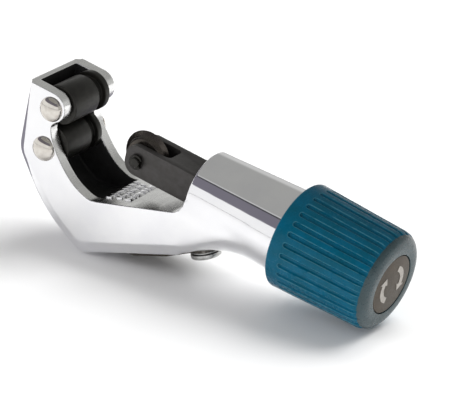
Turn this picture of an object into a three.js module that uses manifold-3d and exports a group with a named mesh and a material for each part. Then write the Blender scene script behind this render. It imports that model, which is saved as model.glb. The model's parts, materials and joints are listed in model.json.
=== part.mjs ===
// Screw-feed tube cutter: a die-cast C frame with two free rollers, a cutting wheel on a slide,
// a fluted knob that drives the slide through a feed screw, and a reamer blade folded under the leg.
//
// Everything is modelled in tool axes, in millimetres: X along the feed axis towards the knob, with
// x = 0 at the knob's front rim and y = z = 0 on the feed axis; Y across the tool; Z towards the open
// side of the jaw. The whole tool is then pitched about Y, so that it stands on its heel and on the
// rounded end of the knob, and is moved so that the middle of its base is at the origin.

import * as THREE from "three";
import { mergeVertices } from "three/addons/utils/BufferGeometryUtils.js";
import Module from "manifold-3d";

const wasm = await Module();
wasm.setup();

// Gaps
const SEAT_GAP = 0.25; // between pieces that rest on or are pressed into each other
const RUNNING_GAP = 0.3; // between pieces that turn or slide in each other

// Feed
const CLOSE_TRAVEL = 18;
const OPEN_TRAVEL = 12;

// Barrel
const BARREL_LENGTH = 36.7; // from its front face to the knob's rim
const BARREL_FRONT_R = 13.2;
const BARREL_RIM_R = 14.95; // under the knob's rim and behind it
const BARREL_EDGE = 0.5;

// Rollers
const JAW_REACH = 57.1; // barrel's front face to the roller axes
const ROLLER_R = 6.9;
const ROLLER_GROOVE_R = 5.2;
const ROLLER_GROOVE_WIDTH = 3.6; // for a flared pipe end, near the far end
const ROLLER_COLLAR_WIDTH = 2.3; // from the groove to the far end
const ROLLER_SIDE_GAP = 0.45;
const ROLLER_SPACING_GAP = 1.44; // between the two rollers
const ROLLER_PIN_R = 2.5;
const RIVET_HEAD_R = 4.4;
const RIVET_HEAD_HEIGHT = 2.3;

// Jaw walls and leg
const SLOT_WIDTH = 19.9; // between the jaw's two walls
const WALL = 4.25;
const BRIDGE = 1.9; // thickness of the back between the walls
const BACK_GAP = 2.2; // rollers to the back
const LOBE_R = 5.4; // wall round the upper roller's pin
const LOBE_RISE = 0.6;
const HEEL_OFFSET = 20.4; // heel's corner, ahead of the roller axes
const HEEL_DEPTH = 39.25;
const HEEL_R = 6;
const SHOULDER_DEPTH = 13; // where the back leaves the vertical
const SHOULDER_R = 9;
const HIP_OFFSET = 3.2; // middle corner of the curved back
const HIP_DEPTH = 30.5;
const HIP_R = 47;
const FOOT_OFFSET = 12; // where the leg's underside meets the barrel, behind its front face
const FOOT_DROP = 2.4; // that point, below the barrel
const BLEND_LENGTH = 14.7; // from there until the leg has faded into the barrel
const BLEND_ROOM = 12; // room for the leg's corners outside the barrel, where the fading starts
const BLEND_STATIONS = 8;
const BEVEL_DEPTH = 2;
const BACK_BEVEL = 1.7;
const HEEL_BEVEL = 4.2;
const FLOOR_START = 24.2; // where the roller slot runs out into the throat's floor
const FLOOR_START_DEPTH = 16.8;
const FLOOR_END = 3.9; // floor's end, ahead of the barrel
const FLOOR_END_DEPTH = 6.3;
const FLOOR_FILLET_TOP = 0.5;
const SLOT_FLOOR_MARGIN = 4.7; // under the lower roller
const SLOT_FLOOR_RISE = 9.5; // height at which the back's inner face turns into the slot's floor
// Edge of the jaw's walls from the lobe to the floor: [behind the roller axes, above the feed axis]
const WALL_CURVE = [
  [1.1, 1],
  [2.8, -3.8],
  [7.4, -9.6],
  [13.7, -14.7],
  [20.4, -17.2],
];
// Slot's floor: [behind the roller axes, above the lowest level under the rollers]
const SLOT_FLOOR_CURVE = [
  [-1.5, 0.3],
  [8, -5],
  [17.5, -3.6],
];
const LOBE_END = -Math.PI / 3; // where the lobe's round runs into that edge

// Slide and cutting wheel
const SLIDE_WIDTH = 12.3;
const SLIDE_HEIGHT = 10.95;
const SLIDE_REACH = 25.1; // barrel's front face to the wheel's axis, as stored
const SLIDE_NOSE = 4.9; // slide ahead of the wheel's axis
const SLIDE_CORNER_R = 4.4;
const SLIDE_END_GAP = 1.5; // to the nut, when fully open
const CHANNEL_LEAD = 8; // slide channel ahead of the barrel's front face, through the floor's fillet
const EAR_GAP = 7.6; // wheel slot's width
const WHEEL_R = 9;
const WHEEL_SHOULDER_R = 7;
const WHEEL_HALF_HUB = 2.6;
const WHEEL_HALF_DISC = 1;
const WHEEL_REAR_GAP = 1.8;
const WHEEL_PIN_R = 1.85;
const WHEEL_PIN_NECK_R = 1.2;
const WHEEL_PIN_PROUD = 1.9;
const WHEEL_PIN_HEAD_R = 2.9;
const WHEEL_PIN_HEAD = 1.2;
const CLIP_R = 2.65;
const CLIP_THICKNESS = 0.8;

// Feed screw and nut
const SCREW_R = 4.1; // thread at its pitch radius
const SCREW_COLLAR_R = 4.9;
const SCREW_COLLAR = 1;
const NUT_FRONT_X = -0.5;
const NUT_LENGTH = 12.4;
const NUT_R = 8.5;
const NUT_FLANGE_R = 11;
const NUT_FLANGE = 1.6;
const NUT_PIN_R = 1.2;
const NUT_PIN_DEPTH = 2; // into the nut
const TIP_R = 3;
const TIP_LENGTH = 7;
const TIP_NECK_R = 1.9;
const TIP_NECK_START = 2.4; // behind the slide's rear face
const TIP_NECK_LENGTH = 1.6;
const BALL_R = 2.4;
const CLIP_PLATE = 1; // retaining clip's thickness
const CLIP_PLATE_HALF_WIDTH = 3.9;
const CLIP_PLATE_TOP = 3.4;
const SQUARE = 6; // drive square that holds the knob
const SCREW_TAP_R = 2.1;
const SCREW_TAP_DEPTH = 9;

// Knob
const KNOB_R = 18.5;
const KNOB_END_R = 17.45;
const KNOB_END_WALL = 6.1;
const KNOB_END_ROUND = 4.75;
const KNOB_MOUTH_R = 16.7;
const KNOB_MOUTH_LENGTH = 9;
const KNOB_BORE_R = 15.7;
const KNOB_RIM_ROUND = 0.7;
const KNOB_STOP_GAP = 1.4; // end wall to the nut, when fully closed
const FLUTES = 30;
const FLUTE_START = 4.6;
const FLUTE_R = 0.95;
const FLUTE_DEPTH = 0.75;
const FLUTE_PHASE = THREE.MathUtils.degToRad(-0.6);
const CAP_R = 10.3;
const CAP_THICKNESS = 1.1;
const CAP_SUNK = 0.15;
const WELL_R = 6.2; // for the knob screw's head
const WELL_DEPTH = 4.2;
const KNOB_SCREW_R = 1.75;
const KNOB_SCREW_HEAD_R = 3.6;
const KNOB_SCREW_HEAD = 1.3;
const KNOB_SCREW_TIP_GAP = 1; // to the bottom of the tapped hole
const CROSS_HALF_LENGTH = 2.2;
const CROSS_HALF_WIDTH = 0.5;
const CROSS_DEPTH = 0.8;
const LOCK_WASHER_R = 4.4;
const LOCK_WASHER = 0.7;

// Reamer
const REAMER_PIVOT_OFFSET = 3.3; // behind the barrel's front face
const REAMER_THICKNESS = 1.4;
const REAMER_ROOT_R = 5.3;
const REAMER_ROOT_ANGLE = THREE.MathUtils.degToRad(115);
const REAMER_LENGTH = 39.8;
const REAMER_HALF_WIDTH = 9.2;
const REAMER_WIDE_START = 9.8; // pivot to where the blade is at its full width
const REAMER_WIDE_END = 23.5;
const REAMER_TIP_HALF_WIDTH = 1;
const REAMER_PIVOT_R = 2.3;
const REAMER_HEAD_R = 5.2;
const REAMER_HEAD = 1.6;
const REAMER_PIVOT_DEPTH = 7;
const SPRING_WASHER = 0.5;
const SPRING_WASHER_R = 4.6;

// Places worked out from the sizes above
const BARREL_FRONT_X = -BARREL_LENGTH;
const ROLLER_X = BARREL_FRONT_X - JAW_REACH;
const ROLLER_Z = ROLLER_R + ROLLER_SPACING_GAP / 2;
const LOBE_Z = ROLLER_Z + LOBE_RISE;
const TOP_Z = LOBE_Z + LOBE_R;
const BACK_X = ROLLER_X - ROLLER_R - BACK_GAP - BRIDGE;
const HALF_SLOT = SLOT_WIDTH / 2;
const HALF_WIDTH = HALF_SLOT + WALL;
const FOOT_X = BARREL_FRONT_X + FOOT_OFFSET;
const FOOT_DEPTH = barrelRadius(FOOT_X) + FOOT_DROP;
const HEEL_X = ROLLER_X + HEEL_OFFSET;
const UNDERSIDE_SLOPE = Math.atan2(HEEL_DEPTH - FOOT_DEPTH, FOOT_X - HEEL_X);
const WHEEL_X = BARREL_FRONT_X - SLIDE_REACH;
const NUT_REAR_X = NUT_FRONT_X + NUT_LENGTH;
const BARREL_REAR_X = NUT_REAR_X - NUT_FLANGE - SEAT_GAP;
const SLIDE_REAR_X = NUT_FRONT_X - OPEN_TRAVEL - SLIDE_END_GAP;
const KNOB_WALL_X = NUT_REAR_X + CLOSE_TRAVEL + KNOB_STOP_GAP;
const KNOB_LENGTH = KNOB_WALL_X + KNOB_END_WALL;
const CAP_SEAT_X = KNOB_LENGTH - CAP_SUNK - CAP_THICKNESS - SEAT_GAP;
const WELL_X = KNOB_LENGTH - WELL_DEPTH;
const TIP_X = SLIDE_REAR_X - TIP_LENGTH;
const BEYOND = 40; // how far a cutting solid runs past what it cuts

const ROUND = 24; // sides of a small round piece
const LARGE_ROUND = 40;

function barrelRadius(x) {
  const share = Math.min(1, (x + BARREL_LENGTH) / BARREL_LENGTH);
  return BARREL_FRONT_R + share * (BARREL_RIM_R - BARREL_FRONT_R);
}

// The leg's underside at the reamer's pivot: X runs along it towards the knob, Z into the leg.
const underside = new THREE.Group();
const REAMER_X = BARREL_FRONT_X + REAMER_PIVOT_OFFSET;
underside.position.set(REAMER_X, 0, -FOOT_DEPTH - (FOOT_X - REAMER_X) * Math.tan(UNDERSIDE_SLOPE));
underside.rotation.y = -UNDERSIDE_SLOPE;
underside.updateMatrix();

// Solids

function solid(geometry) {
  const bare = geometry.clone();
  bare.deleteAttribute("normal");
  bare.deleteAttribute("uv");
  const merged = mergeVertices(bare, 1e-4);
  const corners = merged.index.array;
  const kept = [];
  for (let i = 0; i < corners.length; i += 3) {
    const [a, b, c] = [corners[i], corners[i + 1], corners[i + 2]];
    if (a !== b && b !== c && c !== a) {
      kept.push(a, b, c);
    }
  }
  return new wasm.Manifold(
    new wasm.Mesh({
      numProp: 3,
      vertProperties: new Float32Array(merged.attributes.position.array),
      triVerts: new Uint32Array(kept),
    }),
  );
}

function surface(body) {
  const mesh = body.getMesh();
  const positions = new Float32Array(mesh.numVert * 3);
  for (let v = 0; v < mesh.numVert; v++) {
    for (let axis = 0; axis < 3; axis++) {
      positions[v * 3 + axis] = mesh.vertProperties[v * mesh.numProp + axis];
    }
  }
  const geometry = new THREE.BufferGeometry();
  geometry.setAttribute("position", new THREE.BufferAttribute(positions, 3));
  geometry.setIndex(new THREE.BufferAttribute(new Uint32Array(mesh.triVerts), 1));
  return geometry;
}

// Turned surface about the Y axis. The profile is a list of [place along the axis, radius] pairs that
// climbs along the outside and closes on itself.
function turned(profile, sides = ROUND) {
  const points = [...profile, profile[0]].map(([along, radius]) => new THREE.Vector2(radius, along));
  return new THREE.LatheGeometry(points, sides);
}

function turnedAcross(profile, sides) {
  return solid(turned(profile, sides));
}

function turnedAlong(profile, sides) {
  return solid(turned(profile, sides).rotateZ(-Math.PI / 2));
}

function turnedUp(profile, sides) {
  return solid(turned(profile, sides).rotateX(Math.PI / 2));
}

function rodProfile(from, to, radius) {
  return [
    [from, 0],
    [from, radius],
    [to, radius],
    [to, 0],
  ];
}

function cylinderAlong(x0, x1, radius, sides) {
  return turnedAlong(rodProfile(x0, x1, radius), sides);
}

function cylinderAcross(x, z, radius, y0, y1) {
  return solid(turned(rodProfile(y0, y1, radius)).translate(x, 0, z));
}

function block(x0, x1, y0, y1, z0, z1) {
  const box = new THREE.BoxGeometry(x1 - x0, y1 - y0, z1 - z0);
  return solid(box.translate((x0 + x1) / 2, (y0 + y1) / 2, (z0 + z1) / 2));
}

// Plate whose outline lies in the XZ plane, from -halfWidth to halfWidth across.
function plateAcross(shape, halfWidth, divisions = 6) {
  const options = { depth: 2 * halfWidth, bevelEnabled: false, curveSegments: divisions };
  const geometry = new THREE.ExtrudeGeometry(shape, options);
  return solid(geometry.rotateX(Math.PI / 2).translate(0, halfWidth, 0));
}

// Solid through outlines with the same number of points, each a list of Vector2 (x, z) at its own y.
// The outlines run counter-clockwise as seen along +Y, from the lowest y to the highest.
function loftAcross(layers) {
  const count = layers[0].outline.length;
  const positions = layers.flatMap(({ outline, y }) => outline.flatMap((p) => [p.x, y, p.y]));
  const index = [];
  for (let layer = 0; layer + 1 < layers.length; layer++) {
    for (let i = 0; i < count; i++) {
      const next = (i + 1) % count;
      const a = layer * count + i;
      const b = layer * count + next;
      index.push(a, b + count, b, a, a + count, b + count);
    }
  }
  const last = (layers.length - 1) * count;
  for (const [a, b, c] of THREE.ShapeUtils.triangulateShape(layers[0].outline, [])) {
    index.push(a, b, c);
  }
  for (const [a, b, c] of THREE.ShapeUtils.triangulateShape(layers.at(-1).outline, [])) {
    index.push(last + c, last + b, last + a);
  }
  const geometry = new THREE.BufferGeometry();
  geometry.setAttribute("position", new THREE.Float32BufferAttribute(positions, 3));
  geometry.setIndex(index);
  return solid(geometry);
}

// Outlines

// Closed outline through corners { x, z, r, bevel }, each rounded to its r in a few steps. Returns
// points { x, z, bevel } in the same order.
function roundedCorners(corners, steps) {
  const outline = [];
  corners.forEach((corner, i) => {
    const before = corners.at(i - 1);
    const after = corners[(i + 1) % corners.length];
    const here = new THREE.Vector2(corner.x, corner.z);
    const arriving = new THREE.Vector2(corner.x - before.x, corner.z - before.z).normalize();
    const leaving = new THREE.Vector2(after.x - corner.x, after.z - corner.z).normalize();
    if (corner.r === 0) {
      outline.push({ x: corner.x, z: corner.z, bevel: corner.bevel });
      return;
    }
    const turn = Math.atan2(arriving.cross(leaving), arriving.dot(leaving));
    const start = here.clone().addScaledVector(arriving, -corner.r * Math.tan(Math.abs(turn) / 2));
    const inward = new THREE.Vector2(-arriving.y, arriving.x).multiplyScalar(Math.sign(turn));
    const centre = start.clone().addScaledVector(inward, corner.r);
    for (let step = 0; step <= steps; step++) {
      const point = start.clone().rotateAround(centre, (turn * step) / steps);
      outline.push({ x: point.x, z: point.y, bevel: corner.bevel });
    }
  });
  return outline;
}

// The outline moved in by each point's own bevel.
function insetOutline(outline) {
  return outline.map((point, i) => {
    const before = outline.at(i - 1);
    const after = outline[(i + 1) % outline.length];
    const along = new THREE.Vector2(after.x - before.x, after.z - before.z).normalize();
    return new THREE.Vector2(point.x - along.y * point.bevel, point.z + along.x * point.bevel);
  });
}

// Frame

function legCorners() {
  const above = TOP_Z + SHOULDER_R;
  const fadeX = FOOT_X + BLEND_LENGTH;
  return [
    { x: BACK_X, z: above, r: 0, bevel: BACK_BEVEL },
    { x: BACK_X, z: -SHOULDER_DEPTH, r: SHOULDER_R, bevel: (BACK_BEVEL + HEEL_BEVEL) / 2 },
    { x: ROLLER_X + HIP_OFFSET, z: -HIP_DEPTH, r: HIP_R, bevel: HEEL_BEVEL },
    { x: HEEL_X, z: -HEEL_DEPTH, r: HEEL_R, bevel: HEEL_BEVEL },
    { x: FOOT_X, z: -FOOT_DEPTH, r: 0, bevel: HEEL_BEVEL },
    { x: fadeX, z: -barrelRadius(fadeX) + SEAT_GAP, r: 0, bevel: 0 },
    { x: fadeX, z: 0, r: 0, bevel: 0 },
    { x: BARREL_FRONT_X, z: 0, r: 0, bevel: 0 },
    { x: BARREL_FRONT_X, z: above, r: 0, bevel: 0 },
  ];
}

function legPlate() {
  const outline = roundedCorners(legCorners(), 6);
  const full = outline.map(({ x, z }) => new THREE.Vector2(x, z));
  const inset = insetOutline(outline);
  return loftAcross([
    { y: -HALF_WIDTH, outline: inset },
    { y: -HALF_WIDTH + BEVEL_DEPTH, outline: full },
    { y: HALF_WIDTH - BEVEL_DEPTH, outline: full },
    { y: HALF_WIDTH, outline: inset },
  ]);
}

// The leg's square section fades into the round barrel inside this turned solid.
function legEnvelope() {
  const fadeX = FOOT_X + BLEND_LENGTH;
  const profile = [
    [BACK_X - BEYOND, 0],
    [BACK_X - BEYOND, 2 * BEYOND],
    [BARREL_FRONT_X - 1, 2 * BEYOND],
  ];
  for (let i = 0; i <= BLEND_STATIONS; i++) {
    const share = i / BLEND_STATIONS;
    const x = BARREL_FRONT_X + share * (fadeX - BARREL_FRONT_X);
    profile.push([x, barrelRadius(x) + BLEND_ROOM * (1 - share) ** 2]);
  }
  profile.push([fadeX, 0]);
  return turnedAlong(profile, LARGE_ROUND);
}

function throatShape() {
  const floorEndX = BARREL_FRONT_X - FLOOR_END;
  const floorLength = floorEndX - ROLLER_X - FLOOR_START;
  const floorSlope = (FLOOR_START_DEPTH - FLOOR_END_DEPTH) / floorLength;
  const shape = new THREE.Shape();
  shape.moveTo(ROLLER_X, BEYOND);
  shape.lineTo(ROLLER_X, TOP_Z);
  shape.absarc(ROLLER_X, LOBE_Z, LOBE_R, Math.PI / 2, LOBE_END, true);
  shape.splineThru([
    ...WALL_CURVE.map(([behind, above]) => new THREE.Vector2(ROLLER_X + behind, above)),
    new THREE.Vector2(ROLLER_X + FLOOR_START, -FLOOR_START_DEPTH),
  ]);
  shape.lineTo(floorEndX, -FLOOR_END_DEPTH);
  shape.quadraticCurveTo(
    BARREL_FRONT_X,
    -FLOOR_END_DEPTH + FLOOR_END * floorSlope,
    BARREL_FRONT_X,
    -FLOOR_FILLET_TOP,
  );
  shape.lineTo(BARREL_FRONT_X, BEYOND);
  return shape;
}

// Space between the jaw's walls, open at the top and running out into the throat's floor.
function rollerSlotShape() {
  const floorZ = -(ROLLER_Z + ROLLER_R + SLOT_FLOOR_MARGIN);
  const shape = new THREE.Shape();
  shape.moveTo(BACK_X + BRIDGE, BEYOND);
  shape.lineTo(BACK_X + BRIDGE, floorZ + SLOT_FLOOR_RISE);
  shape.splineThru([
    ...SLOT_FLOOR_CURVE.map(([behind, above]) => new THREE.Vector2(ROLLER_X + behind, floorZ + above)),
    new THREE.Vector2(ROLLER_X + FLOOR_START, -FLOOR_START_DEPTH),
  ]);
  shape.lineTo(ROLLER_X + FLOOR_START, BEYOND);
  return shape;
}

function barrelSolid() {
  return turnedAlong(
    [
      [BARREL_FRONT_X, 0],
      [BARREL_FRONT_X, BARREL_FRONT_R - BARREL_EDGE],
      [BARREL_FRONT_X + BARREL_EDGE, BARREL_FRONT_R],
      [0, BARREL_RIM_R],
      [BARREL_REAR_X, BARREL_RIM_R],
      [BARREL_REAR_X, 0],
    ],
    LARGE_ROUND,
  );
}

function slideChannel() {
  const halfWidth = SLIDE_WIDTH / 2 + RUNNING_GAP;
  const halfHeight = SLIDE_HEIGHT / 2 + RUNNING_GAP;
  const front = BARREL_FRONT_X - CHANNEL_LEAD;
  return block(front, NUT_FRONT_X, -halfWidth, halfWidth, -halfHeight, halfHeight);
}

function frameSolid() {
  const aboveTop = block(BACK_X - 1, BARREL_FRONT_X + 1, -BEYOND, BEYOND, TOP_Z, TOP_Z + BEYOND);
  let body = legPlate().intersect(legEnvelope());
  body = body.subtract(aboveTop);
  body = body.subtract(plateAcross(throatShape(), BEYOND));
  body = body.subtract(plateAcross(rollerSlotShape(), HALF_SLOT));
  body = body.add(barrelSolid());
  body = body.subtract(slideChannel());
  body = body.subtract(cylinderAlong(NUT_FRONT_X - SEAT_GAP, BEYOND, NUT_R + SEAT_GAP));
  body = body.subtract(nutPinHole());
  for (const z of [ROLLER_Z, -ROLLER_Z]) {
    body = body.subtract(cylinderAcross(ROLLER_X, z, ROLLER_PIN_R + SEAT_GAP, -BEYOND, BEYOND));
  }
  const reamerHole = turned(rodProfile(-BEYOND, REAMER_PIVOT_DEPTH + SEAT_GAP, REAMER_PIVOT_R + SEAT_GAP));
  return body.subtract(solid(reamerHole.rotateX(Math.PI / 2).applyMatrix4(underside.matrix)));
}

// Rollers and their riveted pins

function domedEnds(halfLength, headR, headHeight, shankR) {
  const steps = 5;
  const profile = [];
  for (let i = 0; i <= steps; i++) {
    const angle = (Math.PI / 2) * (i / steps);
    profile.push([-halfLength - headHeight * Math.cos(angle), headR * Math.sin(angle)]);
  }
  profile.push([-halfLength, shankR], [halfLength, shankR]);
  for (let i = steps; i >= 0; i--) {
    const angle = (Math.PI / 2) * (i / steps);
    profile.push([halfLength + headHeight * Math.cos(angle), headR * Math.sin(angle)]);
  }
  return profile;
}

function rollerPinSolid() {
  return turnedAcross(domedEnds(HALF_WIDTH + SEAT_GAP, RIVET_HEAD_R, RIVET_HEAD_HEIGHT, ROLLER_PIN_R));
}

function rollerSolid() {
  const end = HALF_SLOT - ROLLER_SIDE_GAP;
  const collar = end - ROLLER_COLLAR_WIDTH;
  const groove = collar - ROLLER_GROOVE_WIDTH;
  const edge = 0.3;
  const bore = ROLLER_PIN_R + RUNNING_GAP;
  return turnedAcross([
    [-end, bore],
    [-end, ROLLER_R - edge],
    [-end + edge, ROLLER_R],
    [groove - edge, ROLLER_R],
    [groove, ROLLER_R - edge],
    [groove, ROLLER_GROOVE_R],
    [collar, ROLLER_GROOVE_R],
    [collar, ROLLER_R - edge],
    [collar + edge, ROLLER_R],
    [end - edge, ROLLER_R],
    [end, ROLLER_R - edge],
    [end, bore],
  ]);
}

// Slide, cutting wheel and its pin

function slideOutline() {
  const rear = SLIDE_REAR_X;
  const nose = WHEEL_X - SLIDE_NOSE;
  const half = SLIDE_HEIGHT / 2;
  const corners = [
    { x: nose, z: half, r: SLIDE_CORNER_R, bevel: 0 },
    { x: nose, z: -half, r: SLIDE_CORNER_R, bevel: 0 },
    { x: rear, z: -half, r: 0, bevel: 0 },
    { x: rear, z: half, r: 0, bevel: 0 },
  ];
  return new THREE.Shape(roundedCorners(corners, 5).map(({ x, z }) => new THREE.Vector2(x, z)));
}

function slideSolid() {
  const half = SLIDE_WIDTH / 2;
  const slotEnd = WHEEL_X + WHEEL_R + WHEEL_REAR_GAP;
  const boreFront = TIP_X - 2 * BALL_R - 3 * SEAT_GAP;
  const neckX = clipCentreX();
  const clipHalf = CLIP_PLATE / 2 + SEAT_GAP;
  let body = plateAcross(slideOutline(), half);
  body = body.subtract(block(WHEEL_X - BEYOND, slotEnd, -EAR_GAP / 2, EAR_GAP / 2, -BEYOND, BEYOND));
  body = body.subtract(cylinderAcross(WHEEL_X, 0, WHEEL_PIN_R + SEAT_GAP, -BEYOND, BEYOND));
  body = body.subtract(cylinderAlong(boreFront, BEYOND, TIP_R + RUNNING_GAP));
  const clipSlotHalf = CLIP_PLATE_HALF_WIDTH + SEAT_GAP;
  const clipSlotTop = CLIP_PLATE_TOP + SEAT_GAP;
  return body.subtract(
    block(neckX - clipHalf, neckX + clipHalf, -clipSlotHalf, clipSlotHalf, -BEYOND, clipSlotTop),
  );
}

function wheelPinSolid() {
  const half = SLIDE_WIDTH / 2;
  const neckStart = -(half + SEAT_GAP + CLIP_THICKNESS + SEAT_GAP);
  const edge = 0.4;
  return turnedAcross([
    [-(half + WHEEL_PIN_PROUD), 0],
    [-(half + WHEEL_PIN_PROUD), WHEEL_PIN_R - edge],
    [-(half + WHEEL_PIN_PROUD) + edge, WHEEL_PIN_R],
    [neckStart, WHEEL_PIN_R],
    [neckStart, WHEEL_PIN_NECK_R],
    [-half, WHEEL_PIN_NECK_R],
    [-half, WHEEL_PIN_R],
    [half + SEAT_GAP, WHEEL_PIN_R],
    [half + SEAT_GAP, WHEEL_PIN_HEAD_R],
    [half + SEAT_GAP + WHEEL_PIN_HEAD - edge, WHEEL_PIN_HEAD_R],
    [half + SEAT_GAP + WHEEL_PIN_HEAD, WHEEL_PIN_HEAD_R - edge],
    [half + SEAT_GAP + WHEEL_PIN_HEAD, 0],
  ]);
}

function wheelPinClipSolid() {
  const inner = WHEEL_PIN_NECK_R + SEAT_GAP;
  const mouth = THREE.MathUtils.degToRad(35);
  const shape = new THREE.Shape();
  shape.absarc(0, 0, CLIP_R, mouth, 2 * Math.PI - mouth, false);
  shape.absarc(0, 0, inner, 2 * Math.PI - mouth, mouth, true);
  return plateAcross(shape, CLIP_THICKNESS / 2, 16);
}

function cuttingWheelSolid() {
  const bore = WHEEL_PIN_R + RUNNING_GAP;
  const edge = 0.05;
  const shoulder = 0.5;
  const half = [
    [edge, WHEEL_R],
    [WHEEL_HALF_DISC, WHEEL_SHOULDER_R + shoulder],
    [WHEEL_HALF_HUB - shoulder, WHEEL_SHOULDER_R],
    [WHEEL_HALF_HUB, WHEEL_SHOULDER_R - shoulder],
    [WHEEL_HALF_HUB, bore],
  ];
  const mirrored = half.map(([along, radius]) => [-along, radius]).reverse();
  return turnedAcross([...mirrored, ...half], LARGE_ROUND);
}

// Feed screw, nut and what holds them

function clipCentreX() {
  return SLIDE_REAR_X - TIP_NECK_START - TIP_NECK_LENGTH / 2;
}

function feedScrewSolid() {
  const threadStart = SLIDE_REAR_X + 2 * SEAT_GAP;
  const threadEnd = KNOB_WALL_X - SEAT_GAP;
  const neckFront = clipCentreX() - TIP_NECK_LENGTH / 2;
  const neckRear = neckFront + TIP_NECK_LENGTH;
  const end = WELL_X - SEAT_GAP;
  const edge = 0.5;
  const rod = turnedAlong([
    [TIP_X, 0],
    [TIP_X, TIP_R - edge],
    [TIP_X + edge, TIP_R],
    [neckFront, TIP_R],
    [neckFront, TIP_NECK_R],
    [neckRear, TIP_NECK_R],
    [neckRear, TIP_R],
    [threadStart, TIP_R],
    [threadStart, SCREW_R],
    [threadEnd - SCREW_COLLAR, SCREW_R],
    [threadEnd - SCREW_COLLAR, SCREW_COLLAR_R],
    [threadEnd, SCREW_COLLAR_R],
    [threadEnd, 0],
  ]);
  const middle = threadEnd - SCREW_COLLAR / 2;
  const square = block(middle, end, -SQUARE / 2, SQUARE / 2, -SQUARE / 2, SQUARE / 2);
  const tapped = cylinderAlong(end - SCREW_TAP_DEPTH, BEYOND, SCREW_TAP_R);
  return rod.add(square).subtract(tapped);
}

function feedNutSolid() {
  const flangeX = NUT_REAR_X - NUT_FLANGE;
  const body = turnedAlong([
    [NUT_FRONT_X, 0],
    [NUT_FRONT_X, NUT_R],
    [flangeX, NUT_R],
    [flangeX, NUT_FLANGE_R],
    [NUT_REAR_X, NUT_FLANGE_R],
    [NUT_REAR_X, 0],
  ]);
  return body.subtract(cylinderAlong(-BEYOND, BEYOND, SCREW_R + RUNNING_GAP)).subtract(nutPinHole());
}

function nutPinX() {
  return (NUT_FRONT_X + BARREL_REAR_X) / 2;
}

function nutPinHole() {
  const inner = -(NUT_R - NUT_PIN_DEPTH - SEAT_GAP);
  return cylinderAcross(nutPinX(), 0, NUT_PIN_R + SEAT_GAP, -BEYOND, inner);
}

function nutPinSolid() {
  const outer = -(BARREL_RIM_R - 2 * SEAT_GAP);
  return cylinderAcross(nutPinX(), 0, NUT_PIN_R, outer, -(NUT_R - NUT_PIN_DEPTH));
}

function screwClipSolid() {
  const half = CLIP_PLATE / 2;
  const x = clipCentreX();
  const mouth = TIP_NECK_R + RUNNING_GAP;
  const low = -SLIDE_HEIGHT / 2 + SEAT_GAP;
  const plate = block(x - half, x + half, -CLIP_PLATE_HALF_WIDTH, CLIP_PLATE_HALF_WIDTH, low, CLIP_PLATE_TOP);
  const round = cylinderAlong(x - BEYOND, x + BEYOND, mouth);
  return plate.subtract(round).subtract(block(x - BEYOND, x + BEYOND, -mouth, mouth, -BEYOND, 0));
}

// Knob

function knobOuterProfile() {
  const steps = 5;
  const rimSteps = 2;
  const profile = [
    [0, 0],
    [0, KNOB_R - KNOB_RIM_ROUND],
  ];
  for (let i = 1; i <= rimSteps; i++) {
    const angle = (Math.PI / 2) * (i / rimSteps);
    const rise = KNOB_RIM_ROUND * Math.sin(angle);
    profile.push([KNOB_RIM_ROUND * (1 - Math.cos(angle)), KNOB_R - KNOB_RIM_ROUND + rise]);
  }
  for (let i = 0; i <= steps; i++) {
    const angle = (Math.PI / 2) * (i / steps);
    const x = KNOB_LENGTH - KNOB_END_ROUND * (1 - Math.sin(angle));
    profile.push([x, KNOB_END_R - KNOB_END_ROUND * (1 - Math.cos(angle))]);
  }
  profile.push([KNOB_LENGTH, 0]);
  return profile;
}

function fluteCutter(angle) {
  const length = KNOB_LENGTH - FLUTE_START - 2 * FLUTE_R;
  const taper = Math.atan((KNOB_R - KNOB_END_R) / (KNOB_LENGTH - KNOB_END_ROUND));
  const capsule = new THREE.CapsuleGeometry(FLUTE_R, length, 2, 6);
  capsule.rotateZ(-Math.PI / 2).translate(FLUTE_R + length / 2, 0, 0).rotateY(taper);
  const radius = KNOB_R - Math.tan(taper) * FLUTE_START + FLUTE_R - FLUTE_DEPTH;
  return solid(capsule.translate(FLUTE_START, 0, radius).rotateX(-angle));
}

function knobSolid() {
  let body = turnedAlong(knobOuterProfile(), 2 * FLUTES);
  for (let i = 0; i < FLUTES; i++) {
    body = body.subtract(fluteCutter(FLUTE_PHASE + (2 * Math.PI * i) / FLUTES));
  }
  body = body.subtract(
    turnedAlong(
      [
        [-1, 0],
        [-1, KNOB_MOUTH_R],
        [KNOB_MOUTH_LENGTH, KNOB_MOUTH_R],
        [KNOB_MOUTH_LENGTH + KNOB_MOUTH_R - KNOB_BORE_R, KNOB_BORE_R],
        [KNOB_WALL_X, KNOB_BORE_R],
        [KNOB_WALL_X, 0],
      ],
      LARGE_ROUND,
    ),
  );
  const square = SQUARE / 2 + SEAT_GAP;
  body = body.subtract(block(0, BEYOND, -square, square, -square, square));
  body = body.subtract(cylinderAlong(WELL_X, BEYOND + KNOB_LENGTH, WELL_R));
  return body.subtract(cylinderAlong(CAP_SEAT_X, BEYOND + KNOB_LENGTH, CAP_R + SEAT_GAP, LARGE_ROUND));
}

function knobCapSolid() {
  const edge = 0.2;
  const face = KNOB_LENGTH - CAP_SUNK;
  return turnedAlong(
    [
      [CAP_SEAT_X + SEAT_GAP, 0],
      [CAP_SEAT_X + SEAT_GAP, CAP_R],
      [face - edge, CAP_R],
      [face, CAP_R - edge],
      [face, 0],
    ],
    LARGE_ROUND,
  );
}

function lockWasherSolid() {
  const x = WELL_X + SEAT_GAP;
  const ring = cylinderAlong(x, x + LOCK_WASHER, LOCK_WASHER_R);
  return ring.subtract(cylinderAlong(0, BEYOND + KNOB_LENGTH, KNOB_SCREW_R + SEAT_GAP));
}

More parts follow.
